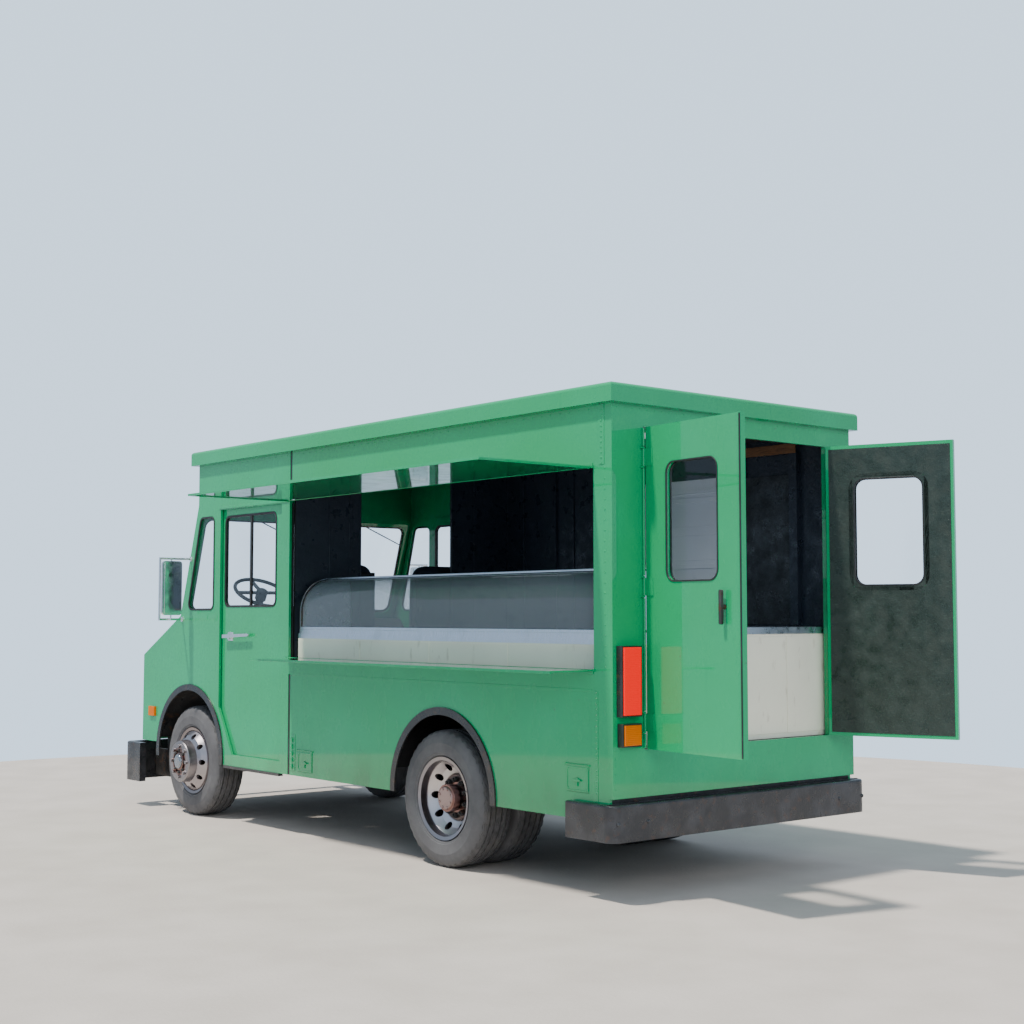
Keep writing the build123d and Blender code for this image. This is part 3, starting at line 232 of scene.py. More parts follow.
def rubber(name, tread=False):
    paint = Paint(name, (0.084, 0.083, 0.088), 0.0, 0.68)
    paint.tint(paint.noise(5.0, 6.0, (1, 1, 1), 0.42, 0.75), (0.125, 0.124, 0.130))
    if tread:
        scuffs = paint.noise(26.0, 8.0, (9, 1, 1), 0.42, 0.62)
        paint.tint(paint.times(scuffs, 0.7), (0.022, 0.022, 0.023))
        dust = paint.noise(7.0, 8.0, (1, 1, 1), 0.52, 0.72)
        paint.tint(paint.times(dust, 0.55), (0.115, 0.104, 0.092))
    paint.rough(paint.noise(24.0, 6.0, (1, 1, 1), 0.3, 0.7), 0.6, 0.9)
    return paint.bump(paint.noise(130.0, 5.0, (1, 1, 1), 0.3, 0.7), 0.0008, 0.7).material


def brushed(name, colour, roughness=0.3, stretch=(1, 1, 30), stain=0.3):
    paint = Paint(name, colour, 1.0, roughness)
    brush = paint.noise(20.0, 6.0, stretch, 0.3, 0.7)
    paint.tint(paint.times(brush, 0.4), tuple(c * 0.72 for c in colour))
    stains = paint.noise(4.5, 9.0, (1, 1, 1), 0.55, 0.75)
    paint.tint(paint.times(stains, stain), tuple(c * 0.45 for c in colour))
    paint.rough(brush, roughness - 0.1, roughness + 0.12)
    return paint.bump(brush, 0.0003, 0.5).material


def panel(name, colour, roughness=0.45, coat=0.0, mark=(0.4, 0.35, 0.27)):
    paint = Paint(name, colour, 0.0, roughness, coat)
    paint.tint(paint.noise(1.8, 5.0, (1, 1, 1), 0.35, 0.75), tuple(c * 0.86 for c in colour))
    marks = paint.noise(11.0, 9.0, (2, 2, 0.6), 0.62, 0.72)
    paint.tint(paint.times(marks, 0.35), tuple(c * m for c, m in zip(colour, mark)))
    paint.rough(paint.noise(8.0, 6.0, (1, 1, 1), 0.3, 0.7), roughness - 0.12, roughness + 0.14)
    return paint.bump(paint.noise(60.0, 5.0, (1, 1, 1), 0.3, 0.7), 0.0006, 0.5).material


def mottled(name, colour, bright, scale=9.0):
    """Dark painted sheet with wear and smears over it."""
    paint = Paint(name, colour, 0.1, 0.45)
    paint.tint(paint.noise(scale, 10.0, (1, 1, 1), 0.42, 0.70), bright)
    scratches = paint.noise(30.0, 8.0, (1, 1, 7), 0.60, 0.68)
    paint.tint(paint.times(scratches, 0.25), tuple(c * 3 for c in bright))
    paint.rough(paint.noise(12.0, 8.0, (1, 1, 1), 0.35, 0.65), 0.22, 0.62)
    return paint.bump(paint.noise(45.0, 7.0, (1, 1, 1), 0.3, 0.7), 0.0012, 0.7).material


def wheel_metal(name, axle_y, bands, rust):
    """Wheel colour in rings about the axle: (radius, colour) from the hub outwards; a ring can hold painted shade
    as well as the metal's colour.
    """
    paint = Paint(name, bands[0][1], 1.0, 0.3)
    radius = paint.radius(axle_y, TYRE_R)
    for limit, colour in bands[1:]:
        paint.tint(paint.ramp(radius, limit - 0.004, limit + 0.004), colour)
    flakes = paint.noise(14.0, 7.0, (1, 1, 1), 0.45, 0.75)
    paint.tint(paint.times(flakes, rust), (0.20, 0.11, 0.085))
    dust = paint.noise(6.0, 6.0, (1, 1, 1), 0.40, 0.80)
    paint.tint(paint.times(dust, 0.25), (0.20, 0.185, 0.185))
    paint.rough(flakes, 0.28, 0.42)
    return paint.bump(paint.noise(60.0, 6.0, (1, 1, 1), 0.3, 0.7), 0.0003, 0.4).material


def pane(name, colour, alpha, metallic, roughness=0.03):
    """Thin glass: what is behind it shows through, and it mirrors at a slant."""
    paint = Paint(name, colour, metallic, roughness)
    smears = paint.noise(3.2, 8.0, (1, 1, 0.6), 0.45, 0.75)
    slant = paint.nodes.new("ShaderNodeLayerWeight").outputs["Facing"]
    slant = paint.times(paint.times(slant, slant), paint.times(slant, slant))
    total = paint.nodes.new("ShaderNodeMath")
    total.operation = "ADD"
    total.use_clamp = True
    paint.links.new(paint.times(slant, 0.55), total.inputs[0])
    paint.links.new(paint.ramp(smears, 0, 1, alpha, alpha + 0.03), total.inputs[1])
    paint.links.new(total.outputs[0], paint.shader.inputs["Alpha"])
    return paint.rough(smears, roughness, roughness + 0.09).material


def lens(name, colour, glow, strength):
    paint = Paint(name, colour, 0.0, 0.3)
    paint.shader.inputs["Specular IOR Level"].default_value = 0.12
    ribs = paint.nodes.new("ShaderNodeTexWave")
    ribs.bands_direction = "Z"
    ribs.inputs["Scale"].default_value = 30.0
    paint.links.new(paint.coords, ribs.inputs["Vector"])
    paint.tint(paint.times(ribs.outputs["Fac"], 0.35), tuple(c * 0.6 for c in colour))
    paint.glow(glow, strength)
    return paint.bump(ribs.outputs["Fac"], 0.0015, 0.6).material


def woven(name, colour):
    """Vinyl with a fine leather grain."""
    paint = Paint(name, colour, 0.0, 0.45)
    paint.tint(paint.noise(6.0, 7.0, (1, 1, 1), 0.40, 0.75), tuple(c * 1.9 for c in colour))
    cells = paint.nodes.new("ShaderNodeTexVoronoi")
    cells.inputs["Scale"].default_value = 420.0
    paint.links.new(paint.coords, cells.inputs["Vector"])
    paint.rough(paint.noise(14.0, 6.0, (1, 1, 1), 0.3, 0.7), 0.36, 0.6)
    return paint.bump(cells.outputs["Distance"], 0.0006, 0.6).material


def timber(name):
    paint = Paint(name, (0.24, 0.105, 0.035), 0.0, 0.55)
    grain = paint.noise(22.0, 8.0, (0.6, 1, 9), 0.35, 0.7)
    paint.tint(grain, (0.10, 0.042, 0.016))
    return paint.rough(grain, 0.4, 0.7).bump(grain, 0.0008, 0.5).material


SILVER = (0.62, 0.60, 0.61)
MATERIALS = {
    "green_paint": green_paint("green_paint"),
    "black_metal": worn_black("black_metal"),
    "navy_lining": mottled("navy_lining", (0.019, 0.026, 0.040), (0.025, 0.034, 0.050), 3.0),
    "black_trim": worn_black("black_trim", (0.012, 0.012, 0.013), 0.32, 0.35, 0.0, 0.3),
    "bumper_black": worn_black("bumper_black", (0.025, 0.026, 0.030), 0.32, 0.3, 0.35, 0.25),
    "tyre": rubber("tyre"),
    "wheel_steel": brushed("wheel_steel", SILVER, 0.28),
    "spring_steel": worn_black("spring_steel", (0.05, 0.05, 0.052), 0.55, 0.8, 0.6),
    "cast_iron": worn_black("cast_iron", (0.045, 0.044, 0.044), 0.6, 0.8, 0.5),
    "glass": pane("glass", (0.80, 0.88, 0.92), 0.015, 1.0),
    "tinted_glass": pane("tinted_glass", (0.22, 0.25, 0.28), 0.44, 0.0, 0.05),
    "red_lens": lens("red_lens", (0.70, 0.002, 0.002), (1.0, 0.0, 0.0), 0.75),
    "amber_lens": lens("amber_lens", (0.60, 0.13, 0.0), (0.80, 0.16, 0.0), 0.15),
    "cream_panel": panel("cream_panel", (0.84, 0.83, 0.68), 0.42, 0.2),
    "steel": brushed("steel", (0.62, 0.68, 0.77), 0.32, (1, 30, 1)),
    "dash_plastic": panel("dash_plastic", (0.022, 0.022, 0.024), 0.6),
    "seat_vinyl": woven("seat_vinyl", (0.016, 0.022, 0.036)),
    "chrome": brushed("chrome", (0.82, 0.83, 0.85), 0.14, (1, 6, 1), 0.15),
}
TREAD = rubber("tread", True)
# The front wheel's inner ring, out to 0.112 m, is copper darkened by painted shade of the recess round the hub.
FRONT_WHEEL = wheel_metal("front_wheel", FRONT_AXLE, [(0, (0.24, 0.15, 0.135)), (0.112, (0.30, 0.28, 0.29)),
                                                      (0.164, (0.40, 0.37, 0.39)),
                                                      (0.238, (0.27, 0.235, 0.24))], 0.08)
REAR_WHEEL = wheel_metal("rear_wheel", REAR_AXLE, [(0, (0.10, 0.08, 0.08)), (0.155, (0.56, 0.53, 0.55)),
                                                   (0.240, (0.30, 0.28, 0.30))], 0.08)
HUB = wheel_metal("hub", REAR_AXLE, [(0, (0.36, 0.27, 0.26)), (0.072, (0.30, 0.165, 0.145)),
                                     (0.098, (0.12, 0.09, 0.088))], 0.25)
CAP = brushed("cap", (0.36, 0.38, 0.42), 0.25)
INNER_SKIN = mottled("inner_skin", (0.024, 0.038, 0.031), (0.032, 0.050, 0.042))
GREASY = mottled("greasy_panel", (0.014, 0.018, 0.022), (0.045, 0.055, 0.065), 7.0)
RIBBED = panel("ribbed_panel", (0.78, 0.80, 0.83), 0.5, 0.0, (0.8, 0.8, 0.8))
MIRROR = brushed("mirror", (0.75, 0.80, 0.82), 0.12, (1, 1, 1), 0.1)
SEAL = worn_black("seal", (0.013, 0.013, 0.015), 0.5, 0.1, 0.0)
WOOD = timber("timber")
LIGHT = Paint("light_strip", (0.7, 0.75, 0.8), 0.0, 0.4).glow((0.70, 0.80, 0.92), 0.6)
LIGHT = LIGHT.bump(LIGHT.noise(90.0), 0.0003).material

for node_name, node in NODES.items():
    node.data.materials.clear()
    node.data.materials.append(MATERIALS[SLOTS[node_name]])
for wheel_side, _ in SIDES:
    NODES[f"rear_latch_{wheel_side}"].data.materials[0] = MATERIALS["spring_steel"]
    NODES[f"front_rim_{wheel_side}"].data.materials[0] = FRONT_WHEEL
    NODES[f"rear_rims_{wheel_side}"].data.materials[0] = REAR_WHEEL


# ---------------------------------------------------------------- mesh building

class Piece:
    """A mesh built from simple solids, in millimetres on the truck unless a matrix places it."""

    def __init__(self, name, place=None):
        self.name = name
        self.bm = bmesh.new()
        self.place = place

    def point(self, x, y, z):
        local = Vector((x, y, z))
        return self.place @ local if self.place else at(*local)

    def box(self, x, y, z):
        """Block between two limits on each axis."""
        corners = [self.point(a, b, c) for a in sorted(x) for b in sorted(y) for c in sorted(z)]
        v = [self.bm.verts.new(c) for c in corners]
        for face in ((0, 1, 3, 2), (4, 6, 7, 5), (0, 4, 5, 1), (2, 3, 7, 6), (0, 2, 6, 4), (1, 5, 7, 3)):
            self.bm.faces.new([v[i] for i in face])
        return self

    def tube(self, start, end, radius, end_radius=None, sides=20, caps=True):
        """Round bar or cone between two points."""
        start, end = self.point(*start), self.point(*end)
        along = (end - start).normalized()
        across = along.orthogonal().normalized()
        other = along.cross(across)
        end_radius = radius if end_radius is None else end_radius
        rings = []
        for centre, r in ((start, radius), (end, end_radius)):
            rings.append([self.bm.verts.new(centre + (across * math.cos(a) + other * math.sin(a)) * r / 1000)
                          for a in (math.tau * i / sides for i in range(sides))])
        self.join(rings)
        if caps:
            self.bm.faces.new(list(reversed(rings[0])))
            self.bm.faces.new(rings[1])
        return self

    def stub(self, side, x, place, radii, sides):
        """Bar or cone across the truck at a (y, z) place, between two distances from its middle."""
        return self.tube((side * x[0], *place), (side * x[1], *place), *radii, sides)

    def join(self, rings, closed=False):
        """Quads between neighbouring rings of equal count."""
        pairs = list(zip(rings, rings[1:]))
        if closed:
            pairs.append((rings[-1], rings[0]))
        for a, b in pairs:
            for i in range(len(a)):
                k = (i + 1) % len(a)
                self.bm.faces.new([a[i], a[k], b[k], b[i]])
        return self

    def lathe(self, profile, x, axle_y, side, segments=96):
        """Ring about an axle from (offset outward, radius) points; the profile is a closed loop."""
        rings = []
        for i in range(segments):
            a = math.tau * i / segments
            rings.append([self.bm.verts.new(Vector((CENTRE_X + side * (x + s) / 1000,
                                                    axle_y + r * math.sin(a) / 1000,
                                                    TYRE_R + r * math.cos(a) / 1000))) for s, r in profile])
        return self.join(rings, True)

    def frame(self, outline, width, low, high, plane):
        """Flat ring along a closed outline of (u, v) points, raised from low to high off its plane."""
        centre = Vector((sum(p[0] for p in outline), sum(p[1] for p in outline))) / len(outline)
        count = len(outline)
        inner = []
        for i, p in enumerate(outline):
            before, after = Vector(outline[i - 1]), Vector(outline[(i + 1) % count])
            tangent = (after - before).normalized()
            normal = Vector((-tangent.y, tangent.x))
            if normal.dot(centre - Vector(p)) < 0:
                normal.negate()
            inner.append(Vector(p) + normal * width)
        rings = []
        for points, height in ((outline, low), (outline, high), (inner, high), (inner, low)):
            rings.append([self.bm.verts.new(self.point(*plane(*p, height))) for p in points])
        return self.join(rings, True)

    def dome(self, centre, normal, radius, height=None, sides=8):
        """Low round head on a surface."""
        centre = self.point(*centre)
        normal = Vector(normal).normalized()
        if self.place:
            normal = (self.place.to_3x3() @ normal).normalized()
        across = normal.orthogonal().normalized()
        other = normal.cross(across)
        height = height or radius * 0.55
        rings = []
        for share, lift in ((1.0, 0.0), (0.8, 0.6), (0.35, 0.95)):
            level = centre + normal * height * lift / 1000
            rings.append([self.bm.verts.new(level + (across * math.cos(a) + other * math.sin(a))
                                            * radius * share / 1000)
                          for a in (math.tau * i / sides for i in range(sides))])
        self.join(rings)
        self.bm.faces.new(rings[-1])
        return self

    def done(self, body, material, bevel=0.0, smooth=True):
        """Put the piece in the scene on its body."""
        bmesh.ops.recalc_face_normals(self.bm, faces=self.bm.faces)
        mesh = bpy.data.meshes.new(self.name)
        self.bm.to_mesh(mesh)
        self.bm.free()
        mesh.materials.append(material)
        obj = bpy.data.objects.new(self.name, mesh)
        bpy.context.scene.collection.objects.link(obj)
        if bevel:
            rounding = obj.modifiers.new("bevel", "BEVEL")
            rounding.width = bevel / 1000
            rounding.segments = 2
            rounding.limit_method = "ANGLE"
        if smooth:
            mesh.shade_smooth()
            mesh.set_sharp_from_angle(angle=math.radians(35))
        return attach(obj, body)


def rounded(u, v, radius, lean=0, steps=6):
    """Outline of a rounded rectangle; lean moves its lower first corner outward."""
    corners = [(u[0] - lean, v[0]), (u[1], v[0]), (u[1], v[1]), (u[0], v[1])]
    points = []
    for i, corner in enumerate(corners):
        here, before, after = Vector(corner), Vector(corners[i - 1]), Vector(corners[(i + 1) % 4])
        into, out = (before - here).normalized(), (after - here).normalized()
        half = into.angle(out) / 2
        reach = radius / math.tan(half)
        centre = here + (into + out).normalized() * (radius / math.sin(half))
        start, end = here + into * reach - centre, here + out * reach - centre
        turn = start.angle_signed(end)
        for k in range(steps + 1):
            a = -turn * k / steps
            points.append((centre.x + start.x * math.cos(a) - start.y * math.sin(a),
                           centre.y + start.x * math.sin(a) + start.y * math.cos(a)))
    return points


def door_place(name, side):
    """Matrix from a rear door's closed place, in millimetres, to where it stands open."""
    joint = JOINTS[f"rear_door_{name}_hinge"]
    closing = max(joint["range_deg"], key=abs)
    pivot = Vector(joint["pos_m"])
    turn = Matrix.Rotation(math.radians(-closing), 4, "Z")
    turn = Matrix.Translation(pivot) @ turn @ Matrix.Translation(-pivot)
    scale = Matrix.Diagonal((side / 1000, 1 / 1000, 1 / 1000, 1))
    return turn @ Matrix.Translation((CENTRE_X, WALL_Y, 0)) @ scale


def sloped(foot, head):
    """Matrix from (across, up the slope, outward) in millimetres to the row frame."""
    start, end = at(0, *foot), at(0, *head)
    up = (end - start).normalized()
    right = Vector((1, 0, 0))
    out = right.cross(up)
    basis = Matrix((right, up, out)).transposed().to_4x4()
    return Matrix.Translation(start) @ basis @ Matrix.Diagonal((0.001, 0.001, 0.001, 1))


SCREEN = sloped((-5190, 1620), (-4925, 2445))


def on_side(side, x):
    """Plane function for outlines on a side wall, raised outwards."""
    return lambda u, v, w: (side * (x + w), u, v)


# ---------------------------------------------------------------- tyres and wheels

def tyre_profile():
    """Closed cross-section: beads, sidewall with two rings, grooved tread."""
    half = [(100, 251), (101, 268), (121, 279), (124, 290), (128, 293), (131.5, 335), (131.5, 352),
            (131.8, 354), (131.8, 360), (131, 362), (127, 388), (118, 412), (110, 426), (104, 432), (94, 437)]
    crown = []
    for groove in (66, 24):
        crown += [(groove + 6, 440), (groove + 4, 430), (groove - 4, 430), (groove - 6, 441)]
    outer = half + crown
    mirrored = [(-s, r) for s, r in reversed(outer)]
    cavity = [(-88, 262), (-110, 300), (-114, 350), (-100, 408), (0, 418)]
    return outer + mirrored + cavity + [(-s, r) for s, r in reversed(cavity[:-1])]


def make_tyres():
    """Tyres turned from their cross-section, with lugs pressed into the tread."""
    profile = tyre_profile()
    for name, side in SIDES:
        sets = ((f"front_tyre_{name}", FRONT_AXLE, (TYRE_X,), f"front_wheel_{name}"),
                (f"rear_tyres_{name}", REAR_AXLE, (TYRE_X, INNER_TYRE_X), f"rear_wheels_{name}"))
        for node, axle_y, places, body in sets:
            piece = Piece(f"{node}_rubber")
            for x in places:
                piece.lathe(profile, x, axle_y, side, LUGS)
            for vert in piece.bm.verts:
                y, z = vert.co.y - axle_y, vert.co.z - TYRE_R
                radius = math.hypot(y, z)
                index = round(math.atan2(y, z) / math.tau * LUGS)
                if 0.425 < radius < 0.4385 and index % 3 == 0:
                    vert.co.y = axle_y + y * (1 - LUG_DEPTH / radius)
                    vert.co.z = TYRE_R + z * (1 - LUG_DEPTH / radius)
            tyre = piece.done(body, MATERIALS["tyre"])
            tyre.data.materials.append(TREAD)
            for face in tyre.data.polygons:
                centre = face.center
                if math.hypot(centre.y - axle_y, centre.z - TYRE_R) > TREAD_START:
                    face.material_index = 1
            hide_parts(node)


def around(axle_y, radius, angle):
    """A (y, z) place on a circle about an axle."""
    return axle_y + radius * math.sin(angle), AXLE_Z + radius * math.cos(angle)


def make_hubs():
    """Front nuts and caps, rear hubs with their bolts and nuts, and a valve on each wheel."""
    for name, side in SIDES:
        front, rear = f"front_wheel_{name}", f"rear_wheels_{name}"
        nuts = Piece(f"front_nuts_{name}")
        for i in range(FRONT_NUTS):
            place = around(FRONT_Y, NUT_CIRCLE, math.tau * i / FRONT_NUTS)
            nuts.stub(side, (HUB_FACE, HUB_FACE + 12), place, (13, 12), 6)
            nuts.stub(side, (HUB_FACE + 12, HUB_FACE + 18), place, (7, 6), 12)
        nuts.done(front, MATERIALS["cast_iron"], 1.2, False)
        cap = Piece(f"front_cap_{name}")
        cap.stub(side, (HUB_FACE + 1, HUB_FACE + 19), (FRONT_Y, AXLE_Z), (60, 57), 40)
        cap.stub(side, (HUB_FACE + 19, HUB_FACE + 25), (FRONT_Y, AXLE_Z), (48, 40), 40)
        cap.done(front, CAP, 2)
        hub = Piece(f"rear_hub_{name}")
        hub.stub(side, (960, HUB_END), (REAR_Y, AXLE_Z), (88, 88), 40)
        hub.stub(side, (HUB_END, HUB_END + 10), (REAR_Y, AXLE_Z), (78, 70), 40)
        hub.stub(side, (905, DISH_FACE), (REAR_Y, AXLE_Z), (150, 146), 48)
        for i in range(HUB_BOLTS):
            place = around(REAR_Y, BOLT_CIRCLE, math.tau * (i + 0.5) / HUB_BOLTS)
            hub.stub(side, (HUB_END, HUB_END + 16), place, (10, 9), 6)
        hub.done(rear, HUB, 2)
        studs = Piece(f"rear_nuts_{name}")
        for i in range(REAR_NUTS):
            place = around(REAR_Y, STUD_CIRCLE, math.tau * i / REAR_NUTS)
            studs.stub(side, (DISH_FACE, DISH_FACE + 23), place, (19, 18), 6)
            studs.stub(side, (DISH_FACE + 23, DISH_FACE + 37), place, (10, 9), 12)
        studs.done(rear, MATERIALS["cast_iron"], 1.2, False)
        for body, axle_y, angle in ((front, FRONT_Y, 0.4), (rear, REAR_Y, 1.3)):
            valve = Piece(f"valve_{body}")
            valve.tube((side * VALVE_X, *around(axle_y, VALVE_CIRCLE, angle)),
                       (side * (VALVE_X + 26), *around(axle_y, VALVE_CIRCLE - 10, angle)), 4.5, 4, 10)
            valve.done(body, MATERIALS["black_trim"])


# ---------------------------------------------------------------- body details

def rivet_line(piece, start, end, pitch, normal, radius=5.5):
    """Row of round heads between two points."""
    start, end = Vector(start), Vector(end)
    count = max(int((end - start).length / pitch), 1)
    for i in range(count + 1):
        piece.dome(tuple(start.lerp(end, i / count)), normal, radius)


def make_rivets():
    """Rivet rows, lapped strips and the dark groove of the body's joints."""
    for name, side in SIDES:
        piece = Piece(f"wall_rivets_{name}")
        rows = ((2.5, (-86, 2500), (-86, 2806), 30, 7), (2.5, (-136, 613), (-136, 1180), 30, 7),
                (0, (-60, 1330), (-60, 2470), 60, 6), (0, (-3510, 2500), (-3510, 2820), 40, 4.5),
                (0, (-4520, 2500), (-4520, 2820), 40, 4.5), (0, (-3470, DRIP_Z), (-110, DRIP_Z), 84, 4.5),
                (0, (-4880, DRIP_Z), (-3530, DRIP_Z), 84, 4.5), (0, (-4640, 1190), (-4560, 1190), 40, 4.5))
        for lift, start, end, pitch, radius in rows:
            x = side * (WALL_X + lift)
            rivet_line(piece, (x, *start), (x, *end), pitch, (side, 0, 0), radius)
        piece.done("truck", MATERIALS["green_paint"])
        strips = Piece(f"wall_strips_{name}")
        for lift, y, z in ((2.5, (-176, -122), (560, 1190)), (2, (-3455, -1040), RAIL_Z),
                           (2, (-1040, -176), RAIL_Z), (2.5, (-110, -62), (2490, 2840))):
            strips.box((side * WALL_X, side * (WALL_X + lift)), y, z)
        strips.done("truck", MATERIALS["green_paint"], 0.8)
    grooves = Piece("wall_groove_strips")
    for z in ((2634, 2845), (452, 1186)):
        grooves.box((1073, 1079), (-3485, -3458), z)
    grooves.done("truck", SEAL, 1)
    back = Piece("rear_rivets")
    for _, side in SIDES:
        rivet_line(back, (side * 1062, 0, 640), (side * 1062, 0, 2820), 42, (0, 1, 0), 4)
        rivet_line(back, (side * 872, 0, 900), (side * 872, 0, 2700), 60, (0, 1, 0), 4)
    rivet_line(back, (-1040, 0, DRIP_Z), (1040, 0, DRIP_Z), 60, (0, 1, 0), 4)
    back.done("truck", MATERIALS["green_paint"])


def make_roof_details():
    """Seams across the roof, its gutter rivets and the skirt's lower hem."""
    low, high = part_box("roof")
    x = (high.x - low.x) * 500
    seams = Piece("roof_seams")
    for y in range(-4360, -300, 620):
        seams.box((-x + 60, x - 60), (y - 14, y + 14), (2957, 2958))
    seams.done("truck", MATERIALS["green_paint"])
    hem = Piece("roof_hem")
    for _, side in SIDES:
        hem.box((side * (x - 6), side * (x - 0.4)), (-4930, 8), (2845, 2851))
        rivet_line(hem, (side * (x - 0.6), -4900, 2872), (side * (x - 0.6), 0, 2872), 98, (side, 0, 0), 3.2)
    hem.done("truck", MATERIALS["green_paint"], 0.6)


def make_gaskets():
    """Rubber round the windows, with the rear doors' inner skins, dark edge strips that also stand as a painted
    reflection of the interior, and hinge bars.
    """
    for name, side in SIDES:
        rim = Piece(f"cab_door_seal_{name}")
        outline = rounded(*CAB_WINDOW)
        for x, sign in ((CAB_DOOR_X[1], 1), (CAB_DOOR_X[0], -1)):
            rim.frame(outline, 16, -5 * sign, 4 * sign, on_side(side, x))
        rim.done(f"cab_door_{name}", SEAL, 1)
        bar = Piece(f"cab_door_divider_{name}")
        bar.box((side * (CAB_DOOR_X[0] + 2), side * (CAB_DOOR_X[1] - 1)), (-4119, -4092), (1690, 2414))
        bar.done(f"cab_door_{name}", MATERIALS["black_metal"], 2)
        quarter = Piece(f"quarter_seal_{name}")
        quarter.frame(rounded(*QUARTER_WINDOW), 16, -6, 4, on_side(side, WALL_X))
        quarter.done("truck", SEAL, 1)
        make_rear_door(name, door_place(name, side))
    screen = Piece("windscreen_seal", SCREEN)
    outline = rounded((-1005, 1005), (40, 842), 75)
    screen.frame(outline, 18, -6, 5, lambda u, v, w: (u, v, w))
    screen.box((-12, 12), (44, 838), (-16, 2))
    screen.done("truck", SEAL, 1)


def make_rear_door(name, place):
    """Window rubber, inner skin, dark edge strip and hinge bar of one rear door; the edge strip also stands as a
    painted reflection of the dark interior.
    """
    outline = rounded(*REAR_WINDOW)
    window = Piece(f"rear_door_seal_{name}", place)
    for face, sign in ((0, 1), (REAR_DOOR_BACK, -1)):
        window.frame(outline, 9, 0, 1, lambda u, v, w, f=face, s=sign: (u, f + s * (w * 9 - 5), v))
    window.done(f"rear_door_{name}", SEAL, 1)
    skin = Piece(f"rear_door_skin_{name}", place)
    for x, z in (((24, 190), (880, 2694)), ((648, 806), (880, 2694)), ((190, 648), (880, 1806)),
                 ((190, 648), (2506, 2694))):
        skin.box(x, (REAR_DOOR_BACK - 2, REAR_DOOR_BACK), z)
    skin.frame(outline, -32, 0, 1, lambda u, v, w: (u, REAR_DOOR_BACK - 2 * w, v))
    for x in (40, 790):
        rivet_line(skin, (x, REAR_DOOR_BACK - 2, 900), (x, REAR_DOOR_BACK - 2, 2680), 90, (0, -1, 0), 4.5)
    skin.done(f"rear_door_{name}", INNER_SKIN, 0.5)
    # Black strip along the door's free edge: a rubber edge, and also the dark interior's reflection painted onto
    # the edge.
    seal = Piece(f"rear_door_edge_{name}", place)
    seal.box((7, 15), (0, 6), REAR_DOOR_Z)
    seal.done(f"rear_door_{name}", SEAL)
    hinge = Piece(f"rear_door_hinge_{name}", place)
    for z in ((REAR_DOOR_Z[0], 945), (1075, 1723), (1853, 2475), (2605, REAR_DOOR_Z[1])):
        hinge.tube((834, 8, z[0]), (834, 8, z[1]), 7.5, None, 14)
    hinge.done(f"rear_door_{name}", MATERIALS["green_paint"])


def make_flap_trims():
    """Rim, lock and handle of the two wall flaps."""
    for label, (y, z) in (("fuel_flap", FUEL_FLAP), ("locker_flap", LOCKER_FLAP)):
        piece = Piece(f"{label}_frame")
        outline = rounded((y[0] + 6, y[1] - 6), (z[0] + 6, z[1] - 8), 10)
        piece.frame(outline, 9, 0, 3, on_side(1, WALL_X + 3))
        for u in (y[0] + 20, y[1] - 20):
            for v in (z[0] + 20, z[1] - 22):
                piece.dome((WALL_X + 3, u, v), (1, 0, 0), 7)
        v, w = (y[0] + y[1]) / 2, (z[0] + z[1]) / 2 - 8
        piece.tube((WALL_X + 3, v, w), (WALL_X + 12, v, w), 16, 14, 20)
        piece.box((WALL_X + 11, WALL_X + 17), (v - 32, v + 32), (w - 6, w + 6))
        piece.box((WALL_X + 3, WALL_X + 11), (v - 5, v + 5), (w - 34, w))
        piece.done(label, MATERIALS["green_paint"], 1)


